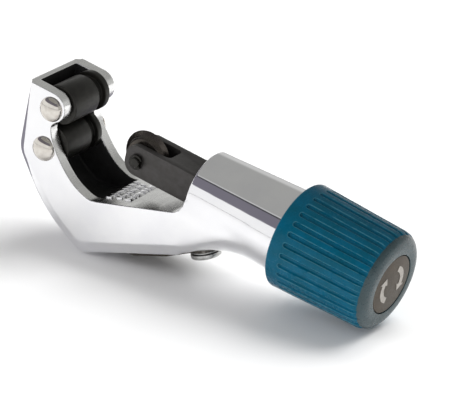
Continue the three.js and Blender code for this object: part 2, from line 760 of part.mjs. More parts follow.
function knobScrewSolid() {
  const seat = WELL_X + 2 * SEAT_GAP + LOCK_WASHER;
  const top = seat + KNOB_SCREW_HEAD;
  const tip = WELL_X - SCREW_TAP_DEPTH + KNOB_SCREW_TIP_GAP;
  const edge = 0.5;
  const body = turnedAlong([
    [tip, 0],
    [tip, KNOB_SCREW_R],
    [seat, KNOB_SCREW_R],
    [seat, KNOB_SCREW_HEAD_R],
    [top - edge, KNOB_SCREW_HEAD_R],
    [top, KNOB_SCREW_HEAD_R - edge],
    [top, 0],
  ]);
  const depth = top - CROSS_DEPTH;
  const [long, wide] = [CROSS_HALF_LENGTH, CROSS_HALF_WIDTH];
  const across = block(depth, top + 1, -long, long, -wide, wide);
  return body.subtract(across).subtract(block(depth, top + 1, -wide, wide, -long, long));
}

// Reamer, in axes of its own: X along the leg's underside towards the knob, Z square to it into the leg

function reamerBladeSolid() {
  const shape = new THREE.Shape();
  shape.absarc(0, 0, REAMER_ROOT_R, -REAMER_ROOT_ANGLE, REAMER_ROOT_ANGLE, false);
  shape.lineTo(-REAMER_WIDE_START, REAMER_HALF_WIDTH);
  shape.lineTo(-REAMER_WIDE_END, REAMER_HALF_WIDTH);
  shape.lineTo(-REAMER_LENGTH, REAMER_TIP_HALF_WIDTH);
  shape.lineTo(-REAMER_LENGTH, -REAMER_TIP_HALF_WIDTH);
  shape.lineTo(-REAMER_WIDE_END, -REAMER_HALF_WIDTH);
  shape.lineTo(-REAMER_WIDE_START, -REAMER_HALF_WIDTH);
  const hole = new THREE.Path();
  hole.absarc(0, 0, REAMER_PIVOT_R + RUNNING_GAP, 0, 2 * Math.PI, true);
  shape.holes.push(hole);
  const options = { depth: REAMER_THICKNESS, bevelEnabled: false, curveSegments: 16 };
  const top = -RUNNING_GAP;
  return solid(new THREE.ExtrudeGeometry(shape, options).translate(0, 0, top - REAMER_THICKNESS));
}

function springWasherSolid() {
  const top = -(2 * RUNNING_GAP + REAMER_THICKNESS);
  const inner = REAMER_PIVOT_R + RUNNING_GAP;
  return turnedUp([
    [top - SPRING_WASHER, inner],
    [top - SPRING_WASHER, SPRING_WASHER_R],
    [top, SPRING_WASHER_R],
    [top, inner],
  ]);
}

function reamerRivetSolid() {
  const seat = -(2 * RUNNING_GAP + REAMER_THICKNESS + SPRING_WASHER + SEAT_GAP);
  const edge = 0.5;
  return turnedUp([
    [seat - REAMER_HEAD, 0],
    [seat - REAMER_HEAD, REAMER_HEAD_R - edge],
    [seat - REAMER_HEAD + edge, REAMER_HEAD_R],
    [seat, REAMER_HEAD_R],
    [seat, REAMER_PIVOT_R],
    [REAMER_PIVOT_DEPTH, REAMER_PIVOT_R],
    [REAMER_PIVOT_DEPTH, 0],
  ]);
}

// Assembly

const FINISHES = {
  chrome: { color: 0xd8dadd, roughness: 0.08, metalness: 1 },
  nickel: { color: 0xc9c4bb, roughness: 0.2, metalness: 1 },
  blackOxide: { color: 0x1b1b1a, roughness: 0.45, metalness: 0.8 },
  phosphated: { color: 0x4a4745, roughness: 0.5, metalness: 0.8 },
  toolSteel: { color: 0x57504a, roughness: 0.35, metalness: 0.9 },
  zincSteel: { color: 0x9a9a98, roughness: 0.35, metalness: 0.9 },
  brass: { color: 0xb08d48, roughness: 0.35, metalness: 0.9 },
  tealPaint: { color: 0x0d5a78, roughness: 0.25, metalness: 0.1 },
  bronzeFoil: { color: 0x5f5546, roughness: 0.4, metalness: 0.6 },
};

function addPiece(group, name, body, finish, x = 0, y = 0, z = 0) {
  const mesh = new THREE.Mesh(surface(body), new THREE.MeshStandardMaterial(FINISHES[finish]));
  mesh.name = name;
  mesh.position.set(x, y, z);
  group.add(mesh);
}

function addJaw(tool) {
  addPiece(tool, "frame", frameSolid(), "chrome");
  for (const [name, z] of [["upper", ROLLER_Z], ["lower", -ROLLER_Z]]) {
    addPiece(tool, `${name}_roller`, rollerSolid(), "blackOxide", ROLLER_X, 0, z);
    addPiece(tool, `${name}_roller_pin`, rollerPinSolid(), "nickel", ROLLER_X, 0, z);
  }
}

function addSlide(tool) {
  const clipY = -(SLIDE_WIDTH / 2 + SEAT_GAP + CLIP_THICKNESS / 2);
  const ball = solid(new THREE.SphereGeometry(BALL_R, 12, 8));
  addPiece(tool, "slide", slideSolid(), "phosphated");
  addPiece(tool, "cutting_wheel", cuttingWheelSolid(), "toolSteel", WHEEL_X, 0, 0);
  addPiece(tool, "wheel_pin", wheelPinSolid(), "phosphated", WHEEL_X, 0, 0);
  addPiece(tool, "wheel_pin_clip", wheelPinClipSolid(), "blackOxide", WHEEL_X, clipY, 0);
  addPiece(tool, "thrust_ball", ball, "zincSteel", TIP_X - SEAT_GAP - BALL_R, 0, 0);
  addPiece(tool, "screw_retaining_clip", screwClipSolid(), "zincSteel");
}

function addFeed(tool) {
  addPiece(tool, "feed_nut", feedNutSolid(), "brass");
  addPiece(tool, "nut_locking_pin", nutPinSolid(), "zincSteel");
  addPiece(tool, "feed_screw", feedScrewSolid(), "zincSteel");
  addPiece(tool, "knob", knobSolid(), "tealPaint");
  addPiece(tool, "knob_cap", knobCapSolid(), "bronzeFoil");
  addPiece(tool, "knob_lock_washer", lockWasherSolid(), "zincSteel");
  addPiece(tool, "knob_screw", knobScrewSolid(), "zincSteel");
}

function addReamer(tool) {
  addPiece(underside, "reamer_blade", reamerBladeSolid(), "toolSteel");
  addPiece(underside, "reamer_spring_washer", springWasherSolid(), "zincSteel");
  addPiece(underside, "reamer_rivet", reamerRivetSolid(), "zincSteel");
  tool.add(underside);
}

// Angle at which the heel's and the knob end's roundings stand on one level surface.
function restingPitch() {
  const backSlope = Math.atan2(HEEL_DEPTH - HIP_DEPTH, HEEL_OFFSET - HIP_OFFSET);
  const halfTurn = (backSlope + UNDERSIDE_SLOPE) / 2;
  const lean = (UNDERSIDE_SLOPE - backSlope) / 2;
  const reach = HEEL_R / Math.cos(halfTurn);
  const heelX = HEEL_X - reach * Math.sin(lean);
  const heelZ = -HEEL_DEPTH + reach * Math.cos(lean);
  const dx = KNOB_LENGTH - KNOB_END_ROUND - heelX;
  const dz = -(KNOB_END_R - KNOB_END_ROUND) - heelZ;
  return Math.atan2(dz, dx) - Math.asin((KNOB_END_ROUND - HEEL_R) / Math.hypot(dx, dz));
}

function assemble() {
  const tool = new THREE.Group();
  addJaw(tool);
  addSlide(tool);
  addFeed(tool);
  addReamer(tool);
  tool.rotation.y = restingPitch();
  const bounds = new THREE.Box3().setFromObject(tool, true);
  const middle = bounds.getCenter(new THREE.Vector3());
  tool.position.set(-middle.x, -middle.y, -bounds.min.z);
  const cutter = new THREE.Group();
  cutter.add(tool);
  return cutter;
}

export default assemble();
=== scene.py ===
"""Screw-feed tube cutter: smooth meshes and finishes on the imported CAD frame, with a pale studio.

Pieces are built in the tool's own axes, in millimetres, and moved into the row frame at the end:
X along the feed axis towards the knob, with x = 0 at the knob's front rim and y = z = 0 on the feed
axis, Y across the tool, Z towards the open side of the jaw. The knob's joint gives that frame.
"""

import json
import math
from math import cos, pi, radians, sin, tan

import bmesh
import bpy
from mathutils import Matrix, Vector


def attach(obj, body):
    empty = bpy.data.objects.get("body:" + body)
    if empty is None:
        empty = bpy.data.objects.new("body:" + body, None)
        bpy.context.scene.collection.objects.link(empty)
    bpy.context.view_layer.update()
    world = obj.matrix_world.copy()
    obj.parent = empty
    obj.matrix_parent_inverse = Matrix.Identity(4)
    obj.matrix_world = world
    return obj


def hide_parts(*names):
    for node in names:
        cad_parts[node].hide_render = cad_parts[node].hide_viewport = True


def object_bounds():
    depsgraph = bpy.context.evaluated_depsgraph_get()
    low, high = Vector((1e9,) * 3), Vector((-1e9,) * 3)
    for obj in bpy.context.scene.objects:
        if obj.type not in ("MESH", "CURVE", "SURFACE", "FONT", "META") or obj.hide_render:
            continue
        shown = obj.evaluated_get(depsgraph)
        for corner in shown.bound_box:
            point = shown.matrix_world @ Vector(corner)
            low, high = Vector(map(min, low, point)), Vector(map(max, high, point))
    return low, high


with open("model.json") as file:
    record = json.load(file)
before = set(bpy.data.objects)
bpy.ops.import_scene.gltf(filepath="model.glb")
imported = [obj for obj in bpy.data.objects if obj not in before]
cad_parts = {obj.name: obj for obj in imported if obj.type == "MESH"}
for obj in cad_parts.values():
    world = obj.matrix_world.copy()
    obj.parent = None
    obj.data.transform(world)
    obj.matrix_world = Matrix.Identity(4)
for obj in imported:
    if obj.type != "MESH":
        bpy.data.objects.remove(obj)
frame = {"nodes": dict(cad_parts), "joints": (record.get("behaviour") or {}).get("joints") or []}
CAD_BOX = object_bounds()

MM = 0.001

# ---------------------------------------------------------------- tool frame


def joint(name):
    return next(j for j in frame["joints"] if j["name"] == name)


def tool_matrix():
    along = -Vector(joint("knob_turn")["axis"]).normalized()
    across = Vector((0, 1, 0))
    up = along.cross(across)
    turn = Matrix((along, across, up)).transposed().to_4x4()
    return Matrix.Translation(joint("knob_turn")["pos_m"]) @ turn @ Matrix.Scale(MM, 4)


TOOL = tool_matrix()
TO_TOOL = TOOL.inverted()


def tool_point(name):
    return TO_TOOL @ Vector(joint(name)["pos_m"])


def tool_box(node):
    points = [TO_TOOL @ v.co for v in frame["nodes"][node].data.vertices]
    low = [min(p[i] for p in points) for i in range(3)]
    high = [max(p[i] for p in points) for i in range(3)]
    return Vector(low), Vector(high)


# ---------------------------------------------------------------- sizes, in mm

KNOB_HIGH = tool_box("knob")[1]
SLIDE_LOW, SLIDE_HIGH = tool_box("slide")
FRAME_LOW, FRAME_HIGH = tool_box("frame")
NUT_LOW = tool_box("feed_nut")[0]
SCREW_LOW, SCREW_HIGH = tool_box("feed_screw")
WHEEL_HIGH = tool_box("cutting_wheel")[1]
ROLLER_HIGH = tool_box("upper_roller")[1]
PIN_LOW, PIN_HIGH = tool_box("upper_roller_pin")
CAP_LOW, CAP_HIGH = tool_box("knob_cap")

GAP = 0.25
ROLLER_X = tool_point("upper_roller_spin").x
ROLLER_Z = tool_point("upper_roller_spin").z
WHEEL_X = tool_point("cutting_wheel_spin").x
HALF_WIDTH = 14.2
HALF_SLOT = 9.95
TOP_Z = 13.62
BACK_X = FRAME_LOW.x
BRIDGE = 1.9

BARREL_FRONT_X = -36.7
BARREL_FRONT_R = 13.2
BARREL_RIM_R = 14.95
BARREL_EDGE = 0.5

KNOB_R = KNOB_HIGH.z
KNOB_LENGTH = KNOB_HIGH.x
KNOB_END_R = 17.45
KNOB_END_ROUND = 4.75
KNOB_STRAIGHT = KNOB_LENGTH - KNOB_END_ROUND
KNOB_MOUTH_R = 16.7
KNOB_BORE_R = 15.7
KNOB_MOUTH_LENGTH = 9
KNOB_WALL_X = KNOB_LENGTH - 6.1
KNOB_RIM_ROUND = 0.7
FLUTES = 30
FLUTE_START = 4.6
FLUTE_DEPTH = 0.8
FLUTE_HALF_WIDTH = 0.95
FLUTE_PHASE = radians(-0.6)
CAP_R = CAP_HIGH.z
WELL_R = 6.2
WELL_X = KNOB_LENGTH - 4.2


def barrel_radius(x):
    share = min(1, (x - BARREL_FRONT_X) / -BARREL_FRONT_X)
    return BARREL_FRONT_R + share * (BARREL_RIM_R - BARREL_FRONT_R)


# ---------------------------------------------------------------- mesh helpers


def ease(value):
    value = min(1, max(0, value))
    return value * value * (3 - 2 * value)


def new_object(name, vertices, faces):
    mesh = bpy.data.meshes.new(name)
    mesh.from_pydata([tuple(v) for v in vertices], [], faces)
    shape = bmesh.new()
    shape.from_mesh(mesh)
    bmesh.ops.remove_doubles(shape, verts=shape.verts, dist=1e-5)
    bmesh.ops.recalc_face_normals(shape, faces=shape.faces)
    shape.to_mesh(mesh)
    shape.free()
    obj = bpy.data.objects.new(name, mesh)
    bpy.context.scene.collection.objects.link(obj)
    return obj


def apply_modifiers(obj):
    graph = bpy.context.evaluated_depsgraph_get()
    mesh = bpy.data.meshes.new_from_object(obj.evaluated_get(graph))
    obj.modifiers.clear()
    obj.data = mesh
    return obj


def combine(obj, operation, *others):
    for other in others:
        step = obj.modifiers.new("combine", "BOOLEAN")
        step.operation = operation
        step.solver = "MANIFOLD"
        step.object = other
        apply_modifiers(obj)
        bpy.data.objects.remove(other)
    obj.data.materials.clear()
    return obj


def soften(obj, width, segments=3, angle=35):
    step = obj.modifiers.new("soften", "BEVEL")
    step.width = width
    step.segments = segments
    step.limit_method = "ANGLE"
    step.angle_limit = radians(angle)
    step.harden_normals = False
    return apply_modifiers(obj)


def rounded(corners, steps):
    """Closed outline through (a, b, r) corners, each rounded to its r."""
    outline = []
    for i, (a, b, r) in enumerate(corners):
        here = Vector((a, b))
        if not r:
            outline.append(here)
            continue
        before = Vector(corners[i - 1][:2])
        after = Vector(corners[(i + 1) % len(corners)][:2])
        arriving = (here - before).normalized()
        leaving = (after - here).normalized()
        cross = arriving.x * leaving.y - arriving.y * leaving.x
        turn = math.atan2(cross, arriving.dot(leaving))
        start = here - arriving * r * tan(abs(turn) / 2)
        side = Vector((-arriving.y, arriving.x)) * math.copysign(1, turn)
        centre = start + side * r
        for step in range(steps + 1):
            spin = Matrix.Rotation(turn * step / steps, 2)
            outline.append(centre + spin @ (start - centre))
    return outline


def lathe(name, profile, sides, axis="X", centre=(0, 0, 0)):
    """Turned solid. The closed profile is a list of (place along the axis, radius)."""
    vertices = []
    rings = []
    for along, radius in profile:
        count = sides if radius > 1e-6 else 1
        rings.append([len(vertices) + k for k in range(count)])
        for k in range(count):
            angle = 2 * pi * k / sides
            u = radius * sin(angle)
            v = radius * cos(angle)
            point = (along, u, v) if axis == "X" else (u, along, v)
            vertices.append(Vector(point) + Vector(centre))
    faces = []
    for first, second in zip(rings, rings[1:] + rings[:1]):
        faces += band(first, second, sides)
    return new_object(name, vertices, faces)


def band(first, second, sides):
    faces = []
    if len(first) == 1 and len(second) == 1:
        return faces
    for k in range(sides):
        n = (k + 1) % sides
        if len(first) == 1:
            faces.append((first[0], second[n], second[k]))
        elif len(second) == 1:
            faces.append((first[k], first[n], second[0]))
        else:
            faces.append((first[k], first[n], second[n], second[k]))
    return faces


def plate_faces(count, base=0):
    """Faces between two outlines of count points each, listed one after the other from base."""
    faces = [tuple(base + i for i in range(count))]
    faces.append(tuple(base + i for i in range(2 * count - 1, count - 1, -1)))
    for i in range(count):
        n = (i + 1) % count
        faces.append((base + i, base + n, base + count + n, base + count + i))
    return faces


def prism(name, outline, low, high):
    """Plate with its outline in the XZ plane, from low to high across."""
    vertices = [(p[0], y, p[1]) for y in (low, high) for p in outline]
    return new_object(name, vertices, plate_faces(len(outline)))


def upright_prism(name, outline, low, high):
    """Plate with its outline in the XY plane, from low to high upwards."""
    vertices = [(p[0], p[1], z) for z in (low, high) for p in outline]
    return new_object(name, vertices, plate_faces(len(outline)))


def block(name, low, high):
    outline = [(low[0], low[2]), (high[0], low[2]), (high[0], high[2]), (low[0], high[2])]
    return prism(name, outline, low[1], high[1])


def loft(name, layers):
    """Solid through outlines with the same number of points, each at its own y."""
    count = len(layers[0][1])
    vertices = [(p[0], y, p[1]) for y, outline in layers for p in outline]
    faces = [tuple(range(count))]
    for layer in range(len(layers) - 1):
        base = layer * count
        for i in range(count):
            n = (i + 1) % count
            faces.append((base + i, base + n, base + count + n, base + count + i))
    last = (len(layers) - 1) * count
    faces.append(tuple(range(last + count - 1, last - 1, -1)))
    return new_object(name, vertices, faces)


def rod(name, along, radius, axis="X", centre=(0, 0, 0)):
    profile = [(along[0], 0), (along[0], radius), (along[1], radius), (along[1], 0)]
    return lathe(name, profile, 64, axis, centre)


def curve_points(points):
    """Catmull-Rom curve through the points, without the first."""
    steps = 8
    padded = [points[0], *points, points[-1]]
    result = []
    for i in range(1, len(points)):
        p0, p1, p2, p3 = (Vector(p) for p in padded[i - 1 : i + 3])
        for step in range(1, steps + 1):
            t = step / steps
            result.append(
                0.5 * (2 * p1 + (p2 - p0) * t + (2 * p0 - 5 * p1 + 4 * p2 - p3) * t**2
                       + (3 * p1 - p0 - 3 * p2 + p3) * t**3)
            )
    return result


def place(obj, body, materials, nodes=(), angle=32):
    """Moves a piece from tool axes into the row frame, finishes it and hangs it on its body."""
    obj.data.transform(TOOL)
    obj.data.update()
    obj.data.shade_smooth()
    obj.data.set_sharp_from_angle(angle=radians(angle))
    if not obj.data.materials:
        for material in materials:
            obj.data.materials.append(material)
    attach(obj, body)
    if nodes:
        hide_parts(*nodes)
    return obj


# ---------------------------------------------------------------- materials


def colour(red, green, blue):
    return (red, green, blue, 1)


class Nodes:
    """One node material with a Principled surface, built step by step."""

    def __init__(self, name, base, metallic, roughness):
        self.material = bpy.data.materials.new(name)
        self.material.use_nodes = True
        self.tree = self.material.node_tree
        self.shader = self.tree.nodes["Principled BSDF"]
        self.set("Base Color", colour(*base))
        self.set("Metallic", metallic)
        self.set("Roughness", roughness)
        self.base = base
        self.roughness = roughness
        self.place = self.node("ShaderNodeTexCoord").outputs["Object"]
        self.bumps = None

    def node(self, kind, **values):
        node = self.tree.nodes.new(kind)
        for key, value in values.items():
            setattr(node, key, value)
        return node

    def link(self, output, target):
        self.tree.links.new(output, target)

    def set(self, socket, value):
        self.shader.inputs[socket].default_value = value

    def stretched(self, scale):
        mapping = self.node("ShaderNodeMapping")
        mapping.inputs["Scale"].default_value = scale
        self.link(self.place, mapping.inputs["Vector"])
        return mapping.outputs["Vector"]

    def noise(self, size_mm, detail=4, stretch=(1, 1, 1)):
        node = self.node("ShaderNodeTexNoise")
        node.inputs["Scale"].default_value = 1 / (size_mm * MM)
        node.inputs["Detail"].default_value = detail
        self.link(self.stretched(stretch), node.inputs["Vector"])
        return node.outputs["Fac"]

    def span(self, value, source, target):
        node = self.node("ShaderNodeMapRange")
        node.inputs["From Min"].default_value = source[0]
        node.inputs["From Max"].default_value = source[1]
        node.inputs["To Min"].default_value = target[0]
        node.inputs["To Max"].default_value = target[1]
        self.link(value, node.inputs["Value"])
        return node.outputs["Result"]

    def times(self, first, second):
        node = self.node("ShaderNodeMath", operation="MULTIPLY", use_clamp=True)
        self.link(first, node.inputs[0])
        self.link(second, node.inputs[1])
        return node.outputs[0]

    def mixed(self, factor, first, second):
        node = self.node("ShaderNodeMix", data_type="RGBA")
        self.link(factor, node.inputs["Factor"])
        for socket, value in ((node.inputs[6], first), (node.inputs[7], second)):
            if isinstance(value, bpy.types.NodeSocket):
                self.link(value, socket)
            else:
                socket.default_value = colour(*value)
        return node.outputs[2]

    def vary_colour(self, size_mm, other):
        factor = self.span(self.noise(size_mm), (0.35, 0.65), (0, 1))
        self.colour = self.mixed(factor, self.base, other)
        self.link(self.colour, self.shader.inputs["Base Color"])

    # Lightens convex edges in noise patches: real edge wear on the steels, and on the knob also a
    # painted highlight.
    def edge_wear_and_sheen(self, other, low=0.53, high=0.6, size_mm=0.8, keep=(0.35, 0.6)):
        pointiness = self.node("ShaderNodeNewGeometry").outputs["Pointiness"]
        edges = self.span(pointiness, (low, high), (0, 1))
        patches = self.span(self.noise(size_mm, detail=6), keep, (0, 1))
        self.colour = self.mixed(self.times(edges, patches), self.colour, other)
        self.link(self.colour, self.shader.inputs["Base Color"])

    def vary_roughness(self, size_mm, spread, stretch=(1, 1, 1)):
        target = (max(0.02, self.roughness - spread), self.roughness + spread)
        rough = self.span(self.noise(size_mm, 5, stretch), (0.3, 0.7), target)
        self.link(rough, self.shader.inputs["Roughness"])

    def bump(self, size_mm, depth_mm, strength, stretch=(1, 1, 1)):
        node = self.node("ShaderNodeBump")
        node.inputs["Strength"].default_value = strength
        node.inputs["Distance"].default_value = depth_mm * MM
        self.link(self.noise(size_mm, 3, stretch), node.inputs["Height"])
        if self.bumps is not None:
            self.link(self.bumps, node.inputs["Normal"])
        self.bumps = node.outputs["Normal"]
        self.link(self.bumps, self.shader.inputs["Normal"])


def mirror_chrome():
    m = Nodes("mirror_chrome", (0.90, 0.90, 0.91), 1, 0.045)
    m.vary_colour(9, (0.86, 0.86, 0.88))
    m.vary_roughness(3, 0.02)
    m.bump(7, 0.012, 0.6)
    m.bump(0.5, 0.0012, 0.5)
    return m.material


def ground_chrome():
    m = Nodes("ground_chrome", (0.86, 0.86, 0.85), 1, 0.25)
    m.vary_colour(4, (0.78, 0.78, 0.77))
    m.vary_roughness(1.2, 0.05, (1, 0.15, 1))
    m.bump(0.3, 0.0015, 0.4, (1, 0.08, 1))
    return m.material


# Painted shade: a near-black copy of the chrome for the inside of the roller slot, which is
# chrome-plated like the rest of the frame.
def slot_painted_shade():
    m = Nodes("slot_painted_shade", (0.03, 0.03, 0.03), 0.3, 0.6)
    m.vary_colour(3, (0.02, 0.02, 0.019))
    m.vary_roughness(1, 0.1)
    m.bump(0.7, 0.02, 0.5)
    return m.material


def nickel():
    m = Nodes("polished_nickel", (0.72, 0.69, 0.64), 1, 0.08)
    m.vary_colour(1.5, (0.62, 0.58, 0.53))
    m.vary_roughness(0.8, 0.03)
    m.bump(1.8, 0.012, 0.6)
    return m.material


def black_oxide():
    m = Nodes("black_oxide", (0.017, 0.016, 0.014), 0.5, 0.38)
    m.vary_colour(2.5, (0.025, 0.024, 0.02))
    m.edge_wear_and_sheen((0.16, 0.155, 0.15), low=0.56, high=0.64)
    m.vary_roughness(0.5, 0.07, (1, 0.3, 1))
    m.bump(0.22, 0.004, 0.5, (1, 0.1, 1))
    return m.material


def phosphate():
    m = Nodes("phosphated_steel", (0.068, 0.064, 0.063), 0.6, 0.42)
    m.vary_colour(2.5, (0.055, 0.052, 0.049))
    m.vary_roughness(0.5, 0.06)
    m.bump(0.25, 0.002, 0.3)
    return m.material


def tool_steel():
    m = Nodes("tool_steel", (0.085, 0.075, 0.065), 0.8, 0.3)
    m.vary_colour(1.6, (0.06, 0.052, 0.045))
    m.edge_wear_and_sheen((0.35, 0.33, 0.30), low=0.56, high=0.64)
    m.vary_roughness(0.3, 0.07)
    m.bump(0.2, 0.003, 0.6)
    return m.material


def zinc():
    m = Nodes("zinc_plate", (0.56, 0.56, 0.55), 1, 0.34)
    m.vary_colour(1.8, (0.44, 0.44, 0.42))
    m.vary_roughness(0.6, 0.08)
    m.bump(0.3, 0.005, 0.6)
    return m.material


def brass():
    m = Nodes("turned_brass", (0.62, 0.46, 0.20), 1, 0.3)
    m.vary_colour(2, (0.48, 0.34, 0.14))
    m.vary_roughness(0.5, 0.07)
    m.bump(0.3, 0.004, 0.6, (1, 0.1, 0.1))
    return m.material


def teal_plastic():
    m = Nodes("teal_plastic", (0.0, 0.108, 0.19), 0, 0.26)
    m.set("Specular IOR Level", 0.16)
    m.vary_colour(6, (0.0, 0.092, 0.15))
    # Light teal on the flute edges in patches: painted highlight along the edges, together with
    # some rubbed paint.
    m.edge_wear_and_sheen((0.10, 0.28, 0.34), low=0.515, high=0.56, size_mm=4, keep=(0.32, 0.5))
    m.vary_roughness(2, 0.07)
    m.bump(1.2, 0.02, 0.35)
    m.bump(0.25, 0.004, 0.4)
    return m.material


# Painted reflection: a greyer, darker copy of the same teal plastic for the knob's rounded end,
# standing in for the grey light it reflects.
def teal_end_painted_reflection():
    m = Nodes("teal_plastic_painted_reflection", (0.03, 0.062, 0.072), 0, 0.3)
    m.vary_colour(4, (0.024, 0.05, 0.057))
    m.vary_roughness(1.5, 0.08)
    m.bump(0.3, 0.004, 0.4)
    return m.material


def bronze():
    m = Nodes("bronze_foil", (0.075, 0.058, 0.04), 0.7, 0.42)
    m.vary_colour(3, (0.06, 0.047, 0.033))
    m.vary_roughness(0.6, 0.07)
    m.bump(0.3, 0.003, 0.5)
    return m.material


def silver_foil():
    m = Nodes("silver_foil", (0.46, 0.43, 0.39), 0.85, 0.34)
    m.vary_colour(1.4, (0.36, 0.33, 0.30))
    m.vary_roughness(0.5, 0.07)
    m.bump(0.3, 0.003, 0.5)
    return m.material


CHROME = mirror_chrome()
GROUND = ground_chrome()
SLOT_PAINTED_SHADE = slot_painted_shade()
NICKEL = nickel()
OXIDE = black_oxide()
PHOSPHATE = phosphate()
TOOL_STEEL = tool_steel()
ZINC = zinc()
BRASS = brass()
TEAL = teal_plastic()
TEAL_PAINTED_REFLECTION = teal_end_painted_reflection()
BRONZE = bronze()
SILVER = silver_foil()

# ---------------------------------------------------------------- frame

SHOULDER_DEPTH = 13
SHOULDER_R = 9
HIP_OFFSET = 3.2
HIP_DEPTH = 30.5
HIP_R = 47
HEEL_OFFSET = 20.4
HEEL_DEPTH = 39.25
HEEL_R = 6
FOOT_OFFSET = 12
FOOT_DROP = 2.4
BLEND_LENGTH = 14.7
BEVEL_DEPTH = 2
BACK_BEVEL = 1.7
HEEL_BEVEL = 4.2
LOBE_R = 5.4
LOBE_RISE = 0.6
FLOOR_START = 24.2
FLOOR_START_DEPTH = 16.8
FLOOR_END = 3.9
FLOOR_END_DEPTH = 6.3
FLOOR_FILLET_TOP = 0.5
SLOT_FLOOR_MARGIN = 4.7
CHANNEL_LEAD = 8
BEYOND = 40
NUT_R = 8.5
SLIDE_PLAY = 0.3
PIN_HOLE_R = 2.75

FOOT_X = BARREL_FRONT_X + FOOT_OFFSET
FOOT_DEPTH = barrel_radius(FOOT_X) + FOOT_DROP
HEEL_X = ROLLER_X + HEEL_OFFSET
FADE_X = FOOT_X + BLEND_LENGTH
FLOOR_START_X = ROLLER_X + FLOOR_START
FLOOR_END_X = BARREL_FRONT_X - FLOOR_END
FLOOR_SLOPE = (FLOOR_START_DEPTH - FLOOR_END_DEPTH) / (FLOOR_END_X - FLOOR_START_X)


def leg_corners():
    above = TOP_Z + SHOULDER_R
    middle_bevel = (BACK_BEVEL + HEEL_BEVEL) / 2
    return [
        (BACK_X, above, 0, BACK_BEVEL),
        (BACK_X, -SHOULDER_DEPTH, SHOULDER_R, middle_bevel),
        (ROLLER_X + HIP_OFFSET, -HIP_DEPTH, HIP_R, HEEL_BEVEL),
        (HEEL_X, -HEEL_DEPTH, HEEL_R, HEEL_BEVEL),
        (FOOT_X, -FOOT_DEPTH, 0, HEEL_BEVEL),
        (FADE_X, -barrel_radius(FADE_X) + GAP, 0, 0),
        (FADE_X, 0, 0, 0),
        (BARREL_FRONT_X, 0, 0, 0),
        (BARREL_FRONT_X, above, 0, 0),
    ]


def leg_outline():
    corners = leg_corners()
    steps = 16
    points = rounded([c[:3] for c in corners], steps)
    bevels = []
    for corner in corners:
        bevels += [corner[3]] * (steps + 1 if corner[2] else 1)
    return points, bevels


def inset(points, bevels, share):
    moved = []
    for i, point in enumerate(points):
        along = (points[(i + 1) % len(points)] - points[i - 1]).normalized()
        moved.append(point + Vector((-along.y, along.x)) * bevels[i] * share)
    return moved


def leg_solid():
    points, bevels = leg_outline()
    ends = inset(points, bevels, 1)
    return loft("leg", [
        (-HALF_WIDTH, ends),
        (-HALF_WIDTH + BEVEL_DEPTH, points),
        (HALF_WIDTH - BEVEL_DEPTH, points),
        (HALF_WIDTH, ends),
    ])


def leg_envelope():
    """The leg's square section fades into the round barrel inside this turned solid."""
    stations = 24
    spare = 12
    far = BACK_X - BEYOND
    profile = [(far, 0), (far, 2 * BEYOND), (BARREL_FRONT_X - 1, 2 * BEYOND)]
    for i in range(stations + 1):
        share = i / stations
        x = BARREL_FRONT_X + share * (FADE_X - BARREL_FRONT_X)
        profile.append((x, barrel_radius(x) + spare * (1 - share) ** 2))
    profile.append((FADE_X, 0))
    return lathe("envelope", profile, 160)


def throat_outline():
    lobe = ROLLER_Z + LOBE_RISE
    outline = [Vector((ROLLER_X, BEYOND)), Vector((ROLLER_X, TOP_Z))]
    steps = 20
    for i in range(steps + 1):
        angle = pi / 2 - (5 * pi / 6) * i / steps
        outline.append(Vector((ROLLER_X + LOBE_R * cos(angle), lobe + LOBE_R * sin(angle))))
    outline += curve_points([
        outline[-1],
        (ROLLER_X + 1.1, 1),
        (ROLLER_X + 2.8, -3.8),
        (ROLLER_X + 7.4, -9.6),
        (ROLLER_X + 13.7, -14.7),
        (ROLLER_X + 20.4, -17.2),
        (FLOOR_START_X, -FLOOR_START_DEPTH),
    ])
    start = Vector((FLOOR_END_X, -FLOOR_END_DEPTH))
    bend = Vector((BARREL_FRONT_X, -FLOOR_END_DEPTH + FLOOR_END * FLOOR_SLOPE))
    end = Vector((BARREL_FRONT_X, -FLOOR_FILLET_TOP))
    fillet_steps = 8
    for i in range(fillet_steps + 1):
        t = i / fillet_steps
        outline.append(start * (1 - t) ** 2 + bend * 2 * t * (1 - t) + end * t**2)
    outline.append(Vector((BARREL_FRONT_X, BEYOND)))
    return outline


def slot_outline():
    low = -(ROLLER_Z + ROLLER_HIGH.x - ROLLER_X + SLOT_FLOOR_MARGIN)
    back = Vector((BACK_X + BRIDGE, low + 9.5))
    outline = [Vector((BACK_X + BRIDGE, BEYOND)), back]
    outline += curve_points([
        back,
        (ROLLER_X - 1.5, low + 0.3),
        (ROLLER_X + 8, low - 5),
        (ROLLER_X + 17.5, low - 3.6),
        (FLOOR_START_X, -FLOOR_START_DEPTH),
    ])
    outline.append(Vector((FLOOR_START_X, BEYOND)))
    return outline


def barrel_solid(rear):
    """Round barrel with its front edge rounded."""
    steps = 6
    profile = [(BARREL_FRONT_X, 0)]
    for i in range(steps, -1, -1):
        angle = pi / 2 * i / steps
        x = BARREL_FRONT_X + BARREL_EDGE * (1 - sin(angle))
        profile.append((x, BARREL_FRONT_R - BARREL_EDGE * (1 - cos(angle))))
    profile += [(0, BARREL_RIM_R), (rear, BARREL_RIM_R), (rear, 0)]
    return lathe("barrel", profile, 192)


def ledge_cutters():
    """Take the step off the leg's top edge, so that its sides run out flush with the barrel."""
    outer = HALF_WIDTH + 0.1
    inner = 12.9
    low = -6
    high = 3
    cutters = []
    for side in (-1, 1):
        section = [(side * outer, low), (side * outer, high), (side * inner, high)]
        vertices = [(x, y, z) for x in (BARREL_FRONT_X - 1, FADE_X + 1) for y, z in section]
        faces = [(0, 1, 2), (5, 4, 3), (0, 3, 4, 1), (1, 4, 5, 2), (2, 5, 3, 0)]
        cutters.append(new_object("ledge", vertices, faces))
    return cutters


